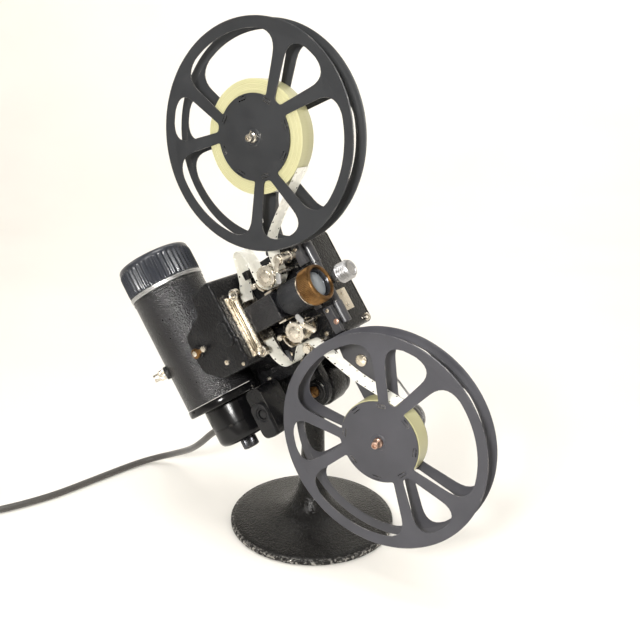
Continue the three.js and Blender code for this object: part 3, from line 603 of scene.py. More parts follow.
def smooth_curve(points, steps):
    """Centripetal Catmull-Rom points through the given ones."""
    pts = [Vector(p) for p in points]
    pts = [2 * pts[0] - pts[1], *pts, 2 * pts[-1] - pts[-2]]
    out = []
    for p0, p1, p2, p3 in zip(pts, pts[1:], pts[2:], pts[3:]):
        knots = [0.0]
        for a, b in ((p0, p1), (p1, p2), (p2, p3)):
            knots.append(knots[-1] + max((b - a).length, 1e-6) ** 0.5)
        t0, t1, t2, t3 = knots
        for k in range(steps):
            t = t1 + (t2 - t1) * k / steps
            a1, a2 = between(p0, p1, t0, t1, t), between(p1, p2, t1, t2, t)
            a3 = between(p2, p3, t2, t3, t)
            b1, b2 = between(a1, a2, t0, t2, t), between(a2, a3, t1, t3, t)
            out.append(between(b1, b2, t1, t2, t))
    out.append(pts[-2])
    return out


def swept(points, steps=4):
    """The same, for a turned profile."""
    return [(p.x, p.y) for p in smooth_curve([(r, h, 0) for r, h in points], steps)]


def even_steps(points, step):
    """The same line, resampled at an even distance."""
    out, carry = [points[0].copy()], 0.0
    for a, b in zip(points, points[1:]):
        length = (b - a).length
        while carry + length >= step:
            t = (step - carry) / length
            a = a.lerp(b, t)
            length = (b - a).length
            out.append(a.copy())
            carry = 0.0
        carry += length
    return out


def tube(points, r, seg=10, caps=True):
    """A round tube along points, kept from twisting."""
    pts = [Vector(p) for p in points]
    last = len(pts) - 1
    tangents = [(pts[min(i + 1, last)] - pts[max(i - 1, 0)]).normalized()
                for i in range(len(pts))]
    side = tangents[0].orthogonal().normalized()
    verts, faces = [], []
    for p, t in zip(pts, tangents):
        side = (side - t * side.dot(t)).normalized()
        other = t.cross(side)
        for k in range(seg):
            a = 2 * math.pi * k / seg
            verts.append(tuple(p + (side * math.cos(a) + other * math.sin(a)) * r))
    for i in range(0, last * seg, seg):
        for k in range(seg):
            j = (k + 1) % seg
            faces.append([i + k, i + j, i + seg + j, i + seg + k])
    if caps:
        faces.append(list(range(seg))[::-1])
        faces.append([last * seg + k for k in range(seg)])
    return verts, faces


# ---- mains cord, in the row frame: lead, coil of turns, plug ----
COIL = (-336, -178)
COIL_R, PITCH = 37.4, 6.9
LIE = CORD_D / 2 + 0.3
exit_point = HEAD @ (Vector((-86.3, -30, 6)) * MM) / MM
straight = HEAD @ (Vector((-106, -30, 6)) * MM) / MM
lead = [
    exit_point, straight, (-96, -29, 83), (-112, -26, 67), (-128, -19.5, 53), (-148, -9.5, 38),
    (-170, -1.5, 25.5), (-190, 4, 14.5), (-206, 4, 7.2), (-216, -4.5, LIE + 0.3),
    *[(x, y, LIE) for x, y in (
        (-221.5, -18), (-226, -37), (-231, -60), (-236, -83), (-241, -106), (-248, -126),
        (-256, -144), (-265, -160.5), (-273, -171.7), (-280.5, -183.5))],
]


def ease(t):
    t = max(0.0, min(1.0, t))
    return t * t * (3 - 2 * t)


def coil_turns():
    """Clockwise turns, column by column inwards on the floor, then outwards on top of them."""
    start, end = -14, -90
    total = 8 * 360 + (start - end)
    columns = [1.5, 0.5, -0.5, -1.5, -1.5, -0.5, 0.5, 1.5, 1.5]
    out = []
    steps = int(total / 22.5)
    for i in range(steps + 1):
        wound = total * i / steps
        turn_no, within = divmod(wound / 360, 1)
        turn_no = int(turn_no)
        here, after = columns[turn_no], columns[min(turn_no + 1, 8)]
        shift = ease((within - 0.55) / 0.45)
        r = COIL_R + PITCH * (here + (after - here) * shift)
        climb = ease((wound / 360 - 3.55) / 0.45)
        a = math.radians(start - wound)
        out.append((COIL[0] + r * math.cos(a), COIL[1] + r * math.sin(a),
                    LIE + (CORD_D + 0.1) * climb))
    return out


PLUG = (-370, -225.9, 9.8)
PLUG_PLACE = row_at(*PLUG)
cord_line = [Vector(p) for p in (
    *lead, *coil_turns(), (-349, PLUG[1], LIE + 6.9), (-360, PLUG[1], LIE + 6.6),
    (PLUG[0] + 1, *PLUG[1:]))]
cord_curve = bpy.data.curves.new("mains_cord", "CURVE")
cord_curve.dimensions = "3D"
cord_curve.bevel_depth = CORD_D / 2 * MM
cord_curve.bevel_resolution = 5
cord_curve.resolution_u = 4
cord_curve.use_fill_caps = True
spline = cord_curve.splines.new("NURBS")
spline.points.add(len(cord_line) - 1)
spline.order_u = 4
spline.use_endpoint_u = True
for point, place in zip(spline.points, cord_line):
    point.co = (*(place * MM), 1)
cord_curve.materials.append(CORD)
route = add_object("cord_route", cord_curve)


def route_mesh(thick):
    """The cord's curve as a mesh: a tube, or its centreline alone."""
    cord_curve.bevel_depth = thick / 2 * MM
    cord_curve.use_fill_caps = thick > 0
    return evaluated_mesh(route)


centreline = [tuple(v.co) for v in route_mesh(0).vertices]
cord = add_object("mains_cord", route_mesh(CORD_D))
bpy.data.objects.remove(route)
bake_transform(cord)
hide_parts("cord_lead", "cord_coil")

grip = lathe([
    (0, 0), (4.6, 0), (5.2, -1.2), (5.6, -4), (5.2, -5), (5.2, -6.2), (6.2, -7.2), (9.5, -11.5),
    (12.4, -16.4), (13.1, -19), (13.1, -29.6), (12.4, -31), (0, -31)], "x", 56)
grip = boolean("INTERSECT", grip, [box((-33, -15, -9.5), (2, 15, 9.5))])
grooves = [box((-27.5 + 3.1 * k, -16, side * 9.5 - 0.5), (-26.2 + 3.1 * k, 16, side * 9.5 + 0.5))
           for k in range(4) for side in (-1, 1)]
plug = piece("plug_body", soften(minus(grip, *grooves), 0.35), BAKELITE, "plug", body="pedestal",
             place=PLUG_PLACE)
blade = plate(rounded([(-48, -3.1), (-30, -3.1), (-30, 3.1), (-48, 3.1)], 1.4), -0.75, 0.75,
              [circle(-44.5, 0, 1.3, 20)])
blades = [soften(moved(blade, (0, y, 0), matrix=Matrix.Rotation(math.pi / 2, 3, "X")), 0.2, 1)
          for y in (-6.4, 6.4)]
pins = piece("plug_blades", combine(*blades), NICKEL, body="pedestal", place=PLUG_PLACE)


def squarish(value, power):
    return math.copysign(abs(value) ** power, value)


band = []
for k in range(25):
    a = 2 * math.pi * k / 24
    band.append((COIL_R + squarish(math.cos(a), 0.35) * 15.2, 0,
                 7.4 + squarish(math.sin(a), 0.45) * 7.35))
tie = piece("cord_tie", tube(band, 1.0, 8, False), BAKELITE, body="pedestal",
            place=row_at(*COIL, 0.9) @ Matrix.Rotation(math.radians(120), 4, "Z"))
sleeve = [(0, -86), (3.45, -86)]
sleeve += [(3.7 + 0.37 * k + (0.35 if k % 2 else 0), -84.6 + 2.1 * k) for k in range(9)]
sleeve += [(7.0, -64), (7.0, -57.4), (6.4, -56.4), (0, -56.4)]
piece("strain_relief", lathe(sleeve, "x", 48, (0, -30, 6)), CORD, "cord_gland")


# ---- pedestal ----
PIN = (13, 0, 146)
rim = [(0, 2.8), (74.3, 2.8), (74.3, 0.8), (79.2, 0.8), (80, 1.6), (80, 4.0), (79.6, 4.8),
       (78.6, 5.3), (77.4, 5.2), (76.6, 5.7)]
flare = swept([(75.5, 6.4), (60, 8.5), (42, 11.5), (30, 15), (22, 21), (16.5, 31), (13.4, 45),
               (11.6, 70), (10.6, 105), (10.5, 136)])
trumpet = lathe(rim + flare + [(9.7, 139.2), (7.4, 141), (0, 141)], seg=144)
knuckle = disc(17, -10.7, 10.7, "y", PIN, 96, 1.2)
pedestal = minus(union(trumpet, knuckle), disc(4.5, -40, 40, "y", PIN, 48))
piece("pedestal", pedestal, IRON, "base_pedestal", body="pedestal", place=ROW)
piece("base_felt", lathe([(0, 0), (73, 0), (74, 0.9), (73.8, 2.5), (0, 2.5)], seg=96), FELT,
      "base_pad", body="pedestal", place=ROW)
bolt = lathe([(0, -23.5), (4.3, -23.5), (5.1, -23.1), (5.4, -22.4), (5.4, -20.3), (4, -20.3),
              (4, 25.4), (3.2, 26), (0, 26)], "y", 48)
bolt = minus(bolt, box((-7, -24.5, -0.55), (7, -22.5, 0.55)),
             box((-0.55, -24.5, -7), (0.55, -22.5, 7)))
nut = lathe([(4.02, 20.3), (7.2, 20.3), (7.6, 20.8), (7.6, 24.2), (7.2, 24.7), (4.02, 24.7)],
            "y", 6)
piece("tilt_bolt_head", moved(combine(bolt, nut), PIN, matrix=Matrix.Rotation(0.5, 3, "Y")), BRASS,
      "tilt_bolt", body="pedestal", place=ROW)

# ---- head bracket ----
wiring = minus(block((-56, -44, -4), (-22, -20, 25), 1.4, 3), box((-53, -41, -6), (-25, -23, 20)))
bracket = [block((-56, -44, 24), (40, -20, 28.4), 1.0),
           block((-16, -58, 24), (40, 20, 33.7), 1.4, 3), wiring,
           block((-15, -34, 10), (12, -20, 26), 1.4, 3)]
for near, far in ((-20, -11), (11, 20)):
    bracket += [disc(15, near, far, "y", seg=96, edge=1.0),
                block((-15, near, 3), (15, far, 26), 0.7)]
bracket = minus(union(*bracket), disc(4.5, -40, 40, "y", seg=48),
                disc(4, -60, -50, "x", (0, -30, 6), 32))
piece("tilt_bracket_casting", bracket, CASTING, "tilt_bracket")
washer = lathe([(5.7, -20.05), (11.4, -20.05), (11.4, -20.7), (10.8, -21.1), (8.4, -21.1),
                (8, -21.5), (5.7, -21.5)], "y", 72)
piece("pivot_washer", washer, CASE_BLACK)
screws("bracket_screws", 2.6, 1.3, -58, ((-9, 29, 30), (33, 29, 75)))

# ---- gear case ----
case_outline = rounded([(20.3, 34), (88, 34), (88, 121), (20.3, 121)], 5, 6)
gear_case = soften(plate(case_outline, -60, -18), 0.9, 3)
case_cuts = [box((23.3, -57, 37), (85, -16, 118)), disc(3.8, 10, 100, "x", SHUTTER_AXIS, 32),
             box((52, -34, 33), (84, -26, 39))]
case_cuts += [disc(3.6, -62, -50, "y", (SPROCKET_X, 0, z), 32) for z in (UPPER_Z, LOWER_Z)]
gear_case = minus(gear_case, *case_cuts)
piece("gear_case", gear_case, CASTING, "main_frame")
rails = [block((79.5, -64, low), (87.5, -59.8, high), 0.7) for low, high in ((37, 60), (99, 118))]
rails += [block((72, -62.4, 62), (79.2, -59.8, 97), 0.6)]
piece("case_rails", combine(*rails), GREY)
pillar = lathe([(0, 42), (4.4, 42), (5, 42.6), (5, 60), (4.2, 61), (4.2, 96), (5, 97),
                (5, 114.4), (4.4, 115), (0, 115)], at=(87.5, -53, 0), seg=48)
piece("case_pillar", pillar, GREY)
STUD = [(0, -86.4), (2.9, -86.4), (3.4, -85.9), (3.4, -84.4), (2, -84.4), (2, -67.6),
        (3.4, -67.6), (4.2, -66.6), (4.2, -60), (0, -60)]
studs = [minus(lathe(STUD, "y", 32, (x, 0, z)), box((x - 4, -87, z - 0.4), (x + 4, -85.7, z + 0.4)))
         for _, x, z in ROLLERS]
piece("roller_studs", combine(*studs), NICKEL)
bosses = [ring(3.7, 7.4, -62.2, -59.9, "y", (SPROCKET_X, 0, z), 56) for z in (UPPER_Z, LOWER_Z)]
piece("bearing_bosses", combine(*[soften(b, 0.35) for b in bosses]), NICKEL)
case_screws = [screw((x, -60, z), 2.1, height=1.1, spin=a) for x, z, a in
               ((27, 40, 15), (27, 115, 70), (68, 116, 40), (70, 41, 120))]
case_screws += [screw((83.4, -64, z), 1.7, height=1.1, spin=a) for z, a in ((57, 65), (113, 100))]
piece("case_screws", combine(*case_screws), BRIGHT)
piece("case_side_block", block((87.9, -50, 50), (90, -35, 69), 0.6), BRIGHT)
side_screws = [screw((87.6, -22.5, 38.5), 3.4, "x", 1, 2.6, 40),
               *[screw((90, -42.5, z), 1.7, "x", 1, 0.9, a) for z, a in ((65, 15), (54, 70))]]
piece("case_side_screws", combine(*side_screws), NICKEL)
piece("pillar_screw", screw((86.5, -64, 46), 2.4, height=1.5, spin=60), COPPER)
piece("arm_pivot_screw", screw((88, -60, 9), 5.2, height=2.2, spin=8), BRIGHT)
panel = rounded([(25, 39), (83, 39), (83, 116), (25, 116)], 6, 6)
cover = union(soften(plate(case_outline, -17.7, -16), 0.4),
              soften(plate(panel, -16.6, -15), 0.7, 3))
vents = [plate(capsule(38 + 8 * k, 66, 38 + 8 * k, 90, 1.5), -19, -14) for k in range(5)]
piece("rear_cover_panel", minus(cover, *vents), CASE_BLACK, "rear_cover")
rear_screws = [screw((x, -16, z), 2.1, sign=1, spin=a) for x, z, a in
               ((22.9, 37, 0), (85.3, 37, 20), (22.9, 118, 40), (85.3, 118, 60))]
piece("rear_screws", combine(*rear_screws), NICKEL)

# ---- reel arms ----
UPPER_ARM = [(50, 121.3), (68, 121.3), (71.5, 138), (84, 161), (122, 193), (103, 209), (73, 164),
             (59.5, 138)]
LOWER_ARM = [(74, 33.7), (72, 10), (72.5, -53), (94, -53), (98, 10), (95, 33.7)]
for side, outline, (x, z, _) in (
        ("upper", UPPER_ARM, UPPER_REEL), ("lower", LOWER_ARM, LOWER_REEL)):
    arm = union(soften(plate(rounded(outline, 4, 6), -60, -50), 1.0, 3),
                disc(13, -60.2, -49.8, "y", (x, 0, z), 72, 0.8))
    piece(f"{side}_arm_casting", minus(arm, disc(4.5, -70, -40, "y", (x, 0, z), 40)), GREY,
          f"{side}_arm")
screws("arm_screws", 2.3, 1.3, -60, ((59, 126, 30), (64, 134, 80), (80, 28, 45), (89, 28, 100)))


# ---- reels ----
def window(middle, inner, outer, span_in, span_out, soft_in, soft_out):
    """One flange window between two radii, with softened corners."""
    def at(r, degrees):
        a = math.radians(degrees)
        return Vector((r * math.cos(a), r * math.sin(a)))

    a, b = at(inner, middle + span_in), at(outer, middle + span_out)
    c, d = at(outer, middle - span_out), at(inner, middle - span_in)
    turn_out, turn_in = math.degrees(soft_out / outer), math.degrees(soft_in / inner)
    out = bend(b + (a - b).normalized() * soft_out, b, at(outer, middle + span_out - turn_out))
    out += arc(0, 0, outer, middle + span_out - turn_out, middle - span_out + turn_out, 18)[1:-1]
    out += bend(at(outer, middle - span_out + turn_out), c, c + (d - c).normalized() * soft_out)
    out += bend(d + (c - d).normalized() * soft_in, d, at(inner, middle - span_in + turn_in), 3)
    out += arc(0, 0, inner, middle - span_in + turn_in, middle + span_in - turn_in, 14)[1:-1]
    out += bend(at(inner, middle + span_in - turn_in), a, a + (b - a).normalized() * soft_in, 3)
    return out


def flange(turn, inside, out):
    """A pressed flange whose outer face looks along out (-1 or 1) from the plane y = inside."""
    holes = [circle(0, 0, 4.15, 40)]
    for i in range(3):
        holes.append(window(turn + 120 * i, 33.5, 80.4, 41, 36, 2, 17))
        holes.append(window(turn + 120 * i + 60, 34.5, 80.6, 5, 16, 2.6, 17))

    def turned(profile, seg):
        return lathe([(r, inside + out * h) for r, h in profile], "y", seg)

    def pressed(outline, low, high, holes=()):
        return plate(outline, *sorted((inside + out * low, inside + out * high)), holes)

    sheet = pressed(circle(0, 0, 81.6, 120), 0, 0.8, holes)
    edge = turned([(81.2, 0), (82.2, 0.25), (86.9, 0.65), (88.2, 0.65), (88.9, 0.95),
                   (88.9, 1.35), (88.3, 1.6), (87.6, 1.45), (82.3, 1.05), (81.2, 0.8)], 144)
    eyelet = turned([(4.15, 0.1), (6.6, 0.1), (6.6, 0.8), (6.3, 1.1), (5.9, 1.2), (4.15, 1.2)], 56)
    dashes = [soften(pressed(dash(math.radians(45 * i + turn), 30.6, 3.2, 0.8), 0.6, 1.4), 0.25)
              for i in range(8)]
    return union(sheet, edge, eyelet, *dashes)


def dash(a, r, reach, half):
    """A short capsule across the radius at angle a."""
    x, z, tx, tz = r * math.cos(a), r * math.sin(a), -math.sin(a) * reach, math.cos(a) * reach
    return capsule(x - tx, z - tz, x + tx, z + tz, half, 6)


def slot_shade_plates(turn, inside, out):
    """Thin black plates on the narrow slots each side of the raised marks round the hub: painted
    shade for how dark the slots look.
    """
    level = sorted((inside + out * 0.5, inside + out * 0.86))
    return combine(*[plate(dash(math.radians(45 * i + turn), r, reach, 0.34), *level)
                     for i in range(8) for r, reach in ((29.35, 3.4), (31.85, 3.0))])


def wound_film(roll, seed):
    """A wound roll whose turns stand a little proud of each other."""
    rng = random.Random(seed)
    steps = int((roll - 26.4) / 0.42)
    radii = [26.4 + (roll - 26.4) * k / steps for k in range(steps + 1)]
    drift, near = 0.0, []
    for r in radii:
        drift = 0.8 * drift + rng.uniform(-0.06, 0.06)
        near.append((r, -83.85 + drift + rng.uniform(-0.07, 0.07)))
    far = [(r, h + 15.7 + rng.uniform(-0.05, 0.05)) for r, h in reversed(near)]
    rim = [(roll + 0.1, -83.7), (roll + 0.15, -76), (roll + 0.1, -68.3)]
    return lathe(near + rim + far, "y", 128)


SPINDLE = [(0, -91.9), (1.3, -91.9), (1.6, -93), (2.3, -93), (2.8, -92.6), (3.1, -91.8),
           (3.1, -88.6), (3.6, -88), (4, -87.4), (4, -66.5), (7.4, -66.5), (8, -66),
           (8, -60.8), (7.4, -60.3), (4, -60.3)]
NEAR, FAR = -84.4, -67.6  # inner faces of the flanges
# The upper reel's flanges and hub take the darker copy of the reel paint, which is painted shade.
for side, (x, z, roll), turn, back, seed, paint, tip in (
        ("upper", UPPER_REEL, 77, -44.4, 3, REEL_PAINTED_SHADE, NICKEL),
        ("lower", LOWER_REEL, 100, -20.4, 8, REEL, COPPER)):
    place, body = head_at(x, 0, z), f"{side}_reel"
    for name, inside, out in (("front", NEAR, -1), ("back", FAR, 1)):
        piece(f"{side}_flange_{name}", flange(turn, inside, out), paint, f"{side}_reel_{name}",
              body=body, place=place)
    # Black plates on the front flange: painted shade standing for the dark of the narrow slots.
    piece(f"{side}_flange_slots", slot_shade_plates(turn, NEAR, -1), CASE_BLACK, body=body, place=place)
    hub = lathe([(4.9, -84.1), (25.6, -84.1), (26, -83.7), (26, -68.3), (25.6, -67.9),
                 (24, -67.9), (24, -82.1), (8, -82.1), (8, -67.9), (4.9, -67.9)], "y", 96)
    piece(f"{side}_hub", hub, paint, f"{side}_reel_core", body=body, place=place)
    piece(f"{side}_roll", wound_film(roll, seed), FILM_ROLL, f"{side}_film_roll", body=body,
          place=place)
    shank = lathe(SPINDLE + [(4, back - 5), (7, back - 5), (7, back), (0, back)], "y", 48)
    latch = soften(plate(capsule(0.4, 0, 6.2, 0, 0.6, 8), -93.4, -92.5), 0.2)
    shank = union(shank, moved(latch, matrix=Matrix.Rotation(-0.4, 3, "Y")))
    piece(f"{side}_spindle_rod", shank, tip, f"{side}_spindle", body=body, place=place)

# ---- take-up drive ----
pulley = lathe([(4.4, -33.5), (13.4, -33.5), (14, -33.1), (13.9, -32.4), (12.2, -31.2),
                (12.2, -28.8), (13.9, -27.6), (14, -26.9), (13.4, -26.5), (4.4, -26.5)],
               "y", 72, (LOWER_REEL[0], 0, LOWER_REEL[1]))
piece("takeup_pulley_wheel", pulley, STEEL, "takeup_pulley", body="takeup_pulley")
drive, driven = (SPROCKET_X, UPPER_Z, 8.7), (LOWER_REEL[0], LOWER_REEL[1], 13.7)
run = Vector((driven[0] - drive[0], driven[1] - drive[1]))
heading = math.degrees(math.atan2(run.y, run.x))
lean = math.degrees(math.acos((drive[2] - driven[2]) / run.length))
loop = [*arc(*drive, heading + lean, heading + 360 - lean, 48),
        *arc(*driven, heading - lean, heading + lean, 48)]
loop = even_steps([Vector((a, -30, b)) for a, b in loop + loop[:1]], 0.13)
wire, across = [], Vector((0, 1, 0))
for i, p in enumerate(loop):
    ahead = (loop[(i + 1) % len(loop)] - loop[i - 1]).normalized()
    side_way, phase = ahead.cross(across), 2 * math.pi * i / 8
    wire.append(p + side_way * math.cos(phase) * 0.85 + across * math.sin(phase) * 0.85)
piece("takeup_spring_belt", tube(wire, 0.33, 5), STEEL, "takeup_belt")

# ---- lamp house, over the motor ----
LAMP = head_at(LAMP_X, FILM_Y, 0)
SCREW_TURN = Matrix.Rotation(math.radians(226), 4, "Z")
house = lathe([(31.4, 36.3), (33, 36.3), (33, 139.4), (33.5, 139.8), (33.5, 141.2),
               (33, 141.6), (33, 143), (31.4, 143)], seg=144)
boss = moved(disc(6, 31.9, 36, "x", (0, 0, 76), 40, 0.8), matrix=SCREW_TURN.to_3x3())
house = minus(union(house, boss), disc(11.2, 5, 60, "x", (0, 0, OPTIC_Z), 56),
              moved(disc(2.3, 25, 40, "x", (0, 0, 76), 24), matrix=SCREW_TURN.to_3x3()))
piece("lamp_house_shell", house, CRACKLE, "lamp_house", place=LAMP)
collar = lathe([(9, 29), (32.6, 29), (33.6, 29.8), (33.8, 32), (33.6, 34.8), (33.1, 36),
                (31, 36), (31, 32), (9, 32)], seg=128)
piece("lamp_collar_ring", collar, GLOSS, "lamp_collar", place=LAMP)
trim = lathe([(29, 143.3), (33.5, 143.3), (34, 143.8), (34, 145), (33.7, 145.3), (34, 145.6),
              (34, 146.5), (33.5, 147), (29, 147)], seg=128)
piece("lamp_trim_ring", trim, ALUMINIUM, "lamp_ring", body="lamp_cap", place=LAMP)
cap_wall = [(33.5, 147.5), (33.7, 148.2, True), (33.9, 150, True), (33.9, 158, True),
            (33.8, 166, True), (33.5, 168.4, True), (32.9, 169.8)]
cap_top = swept([(32.9, 170), (32.6, 172.2), (31, 174.1), (28, 175.2), (22, 175.7),
                 (10, 175.95)], 3)
cap = lathe([(0, 172), (28, 172), (28, 147.5), *cap_wall, *cap_top, (0, 176)], seg=352,
            flutes=44, depth=1.5)
piece("lamp_cap_cover", cap, CAP_BLUE, "lamp_cap", body="lamp_cap", place=LAMP)
thumb = lathe([(0, 28), (2, 28), (2, 36.3), (4.2, 36.3), (4.6, 36.7, True), (4.6, 40.6, True),
               (4.2, 41.1), (3.4, 42), (3.4, 46.1), (3.0, 46.5), (0, 46.5)],
              "x", 96, (0, 0, 76), 24, 0.5)
piece("lamp_thumbscrew", thumb, NICKEL, "lamp_screw", body="lamp_screw", place=LAMP @ SCREW_TURN)

# ---- motor and switch ----
MOTOR = head_at(*MOTOR_AXIS)
motor = lathe([(3.2, -7), (18, -7), (21.6, -5.6), (23.4, -3.4), (24, -1), (24, 8.6), (23.6, 9),
               (23.6, 9.5), (24, 9.9), (24, 27), (23.6, 28.7), (9, 28.7), (9, 26.7), (22, 26.7),
               (22, -2), (19, -4), (3.2, -4)], seg=128)
slots = [moved(box((8, -1.1, -8), (16.5, 1.1, -3)), spin=30 * k) for k in range(12)]
piece("motor_shell", minus(motor, *slots), GLOSS, "motor_housing", place=MOTOR)
motor_knob = lathe([(0, -17), (5.6, -17), (7, -16.4), (7.4, -15.6, True), (7.4, -9, True),
                    (6.8, -7.8), (2.9, -7.6), (2.9, -12.3), (0, -12.3)],
                   seg=120, flutes=30, depth=0.5)
piece("motor_hand_knob", motor_knob, GUNMETAL, "motor_knob", body="motor", place=MOTOR)
BUTTON_AT = (-5.6, 0, 5.7)
switch_outline = rounded([(-16.5, 28.7), (1, 28.7), (1, -15.5), (-16.5, -15.5)], 7.6, 8)
switch_case = minus(soften(plate(switch_outline, -88.4, -60), 0.9, 3),
                    disc(4.6, -93, -70, "y", BUTTON_AT, 40),
                    disc(24.3, -30, 40, "z", MOTOR_AXIS, 96))
piece("switch_case", switch_case, CASE_BLACK, "switch_housing")
face = rounded([(-15.6, 16), (0.2, 16), (0.2, -14.8), (-15.6, -14.8)], 7, 8)
face = minus(soften(plate(face, -92, -88), 1.0, 3), disc(4.6, -95, -85, "y", BUTTON_AT, 40),
             lathe([(0, -93), (7.2, -93), (6.0, -90.8), (0, -90.8)], "y", 48, BUTTON_AT))
piece("switch_face", face, BAKELITE)
button = lathe([(0, -90.3), (2.2, -90.5), (3.6, -90.2), (4.2, -89.2), (4.2, -74), (0, -74)],
               "y", 48, BUTTON_AT)
piece("switch_push_button", button, BAKELITE, "switch_button", body="switch_button")

# ---- shutter case ----
casting = rounded([(20, 124), (-5, 120), (-6, 104), (-20, 98), (-31, 93), (-31, 62), (-27, 57),
                   (-11, 47), (20, 47)], 5, 6)
LEVER_AT = (-24, 0, 77)
shutter_case = [soften(plate(casting, -106, -52), 2.6, 4),
                disc(45, -10, 20, "x", SHUTTER_AXIS, 120, 1.6)]
shutter_case += [block(low, high, 1.6, 3) for low, high in (
    ((-10, -60, 47), (20, -40, 124)), ((-18, -58, 33), (20, -24, 50)),
    ((-32, -46, 26), (-8, -28, 52)), ((-50, -38, 26), (-8, -28, 52)))]
shutter_case += [disc(6, -108.2, -103, "y", LEVER_AT, 48, 0.8),
                 soften(plate(capsule(13.2, 73, 13.2, 84, 5.6, 16), -109.4, -103), 1.9, 4)]
case_cuts = [disc(33.4, -10, 220, "z", (LAMP_X, FILM_Y, 0), 144),
             disc(42, -6, 21, "x", SHUTTER_AXIS, 96), disc(9.4, -60, -3, "x", LENS_AXIS, 48)]
piece("shutter_case", minus(union(*shutter_case), *case_cuts), CASTING, "shutter_housing")
front_screws = [screw((-0.5, -106, 58), 2.2, height=1.3, spin=35),
                screw((15, -106, 50.5), 1.6, height=1.1, spin=100)]
piece("shutter_case_screws", combine(*front_screws), BRIGHT)
LEVER = head_at(*LEVER_AT)
lever = union(disc(4.4, -110.8, -108.4, "y", (0, 0, 0), 48, 0.6),
              soften(plate(capsule(0, 0, 11.5, 0, 1.8, 10), -110.6, -108.8), 0.4))
piece("clutch_lever_arm", lever, BRASS, "clutch_lever", body="clutch_lever", place=LEVER)
lever_knob = union(disc(2.6, -112.5, -108.8, "y", (11.5, 0, 0), 40, 0.9),
                   screw((0, -110.7, 0), 2.4))
piece("clutch_lever_knob", lever_knob, NICKEL, body="clutch_lever", place=LEVER)
grooves = [(8.4 - 0.9 * (k % 2), 98.6 + 1.15 * k) for k in range(10)]
hand_knob = lathe([(3.3, 93), (5.2, 93), (5.6, 93.4), (5.6, 97), (7.9, 97.8), *grooves,
                   (7.0, 110.1), (5.6, 110.5), (4.8, 109.7), (0, 109.7), (0, 107.4),
                   (3.3, 107.4)], "x", 96, SHUTTER_AXIS)
piece("inching_hand_knob", hand_knob, STEEL, "inching_knob", body="shutter")

# ---- gate ----
gate_window = box((10, FILM_Y - 4.8, OPTIC_Z - 3.6), (40, FILM_Y + 4.8, OPTIC_Z + 3.6))
aperture = union(block((20.3, -91, 50), (22.2, -62, 108), 0.4),
                 *[block((21.8, y, 54), (22.8, y + 2.2, 104), 0.3) for y in (-86, -69.4)])
piece("gate_side_strip", block((20, -98, 52), (20.7, -91.2, 105), 0.3), NICKEL)
piece("aperture_plate_steel", minus(aperture, gate_window), BRIGHT, "aperture_plate")
pressure = minus(block((25.2, -85, 60), (27.2, -67, 96), 0.4), gate_window)
side_rail = block((27.4, -91.2, 57), (28.1, -86.7, 101), 0.2)
piece("pressure_plate_steel", combine(pressure, side_rail), BRIGHT, "pressure_plate",
      body="lens_carrier")
bar = rounded([(23.4, 51), (28.1, 51), (28.1, 106.5), (23.4, 106.5)], 1)
bar = soften(plate(bar, -91.4, -87), 0.5)
BAR_END = [(0, -91.3), (2.4, -91.4), (3.6, -92.2), (4.3, -92.2), (4.8, -91.7), (4.8, -87.2),
           (4.4, -86.8), (0, -86.8)]
ends = [lathe(BAR_END, "y", 48, (25.8, 0, z)) for z in (52.8, 104.7)]
bar = minus(union(bar, *ends), box((10, -91.5, 40), (23.2, -80, 120)))
piece("gate_bar_nickel", bar, NICKEL, "gate_bar")

# ---- lens ----
mount = block((27.5, -90, 67.7), (58.6, -60.4, 90.7), 1.2, 3)
mount = minus(mount, disc(10.3, 20, 70, "x", LENS_AXIS, 72), box((20, -92, 40), (28.3, -86.5, 120)))
piece("lens_mount_box", mount, CRACKLE, "lens_mount", body="lens_carrier")
barrel = lathe([(8.4, 33), (9.6, 33), (10, 33.4), (10, 62.8), (13.2, 62.8), (13.8, 63.4),
                (13.8, 83.6), (13.3, 84.5), (11.8, 84.5), (11.8, 66), (8.4, 62)],
               "x", 96, LENS_AXIS)
piece("lens_tube", barrel, BARREL, "lens_barrel", body="lens")
focus_ring = lathe([(12, 84.8), (13.8, 84.8), (14.3, 85.4), (15.2, 86.6), (15.6, 87.4, True),
                    (15.6, 96.8, True), (15.3, 98), (14.8, 99.2), (14.2, 99.6), (12.6, 99.6),
                    (12, 98)], "x", 288, LENS_AXIS, 72, 0.55)
piece("lens_knurled_ring", focus_ring, BRASS, "lens_ring", body="lens")


def dome(r, height, base=0.0):
    """A quarter ellipse of eight steps, from the axis to the rim."""
    return [(r * math.sin(t), base + height * math.cos(t))
            for t in (math.pi / 2 * k / 8 for k in range(9))]


element = lathe([(r, 89 - h * 0.4) for r, h in dome(10.85, 2)]
                + [(r, 94 + h) for r, h in reversed(dome(10.85, 2))], "x", 72, LENS_AXIS)
# Its half-clear grey-blue glass carries a painted reflection.
piece("lens_element", element, LENS_GLASS_PAINTED_REFLECTION, "lens_glass", body="lens")
line_ring = lathe([(13.4, 83.9), (14.1, 83.9), (14.2, 84.1), (14.2, 84.6), (14.0, 84.75),
                   (13.4, 84.75)], "x", 96, LENS_AXIS)
piece("lens_front_line", line_ring, BRIGHT, body="lens")
inner = lathe([*dome(10.4, 1.6, 84.6), (10.4, 83.4), (0, 83.4)], "x", 72, LENS_AXIS)
# Its opaque grey body is a painted reflection.
piece("lens_inner_element", inner, COATED_PAINTED_REFLECTION, body="lens")
cell = lathe([(10.9, 88), (12.1, 88), (12.1, 97.6), (11.6, 98), (11.2, 97.4), (10.9, 95)],
             "x", 72, LENS_AXIS)
piece("lens_cell", cell, GUNMETAL, body="lens")


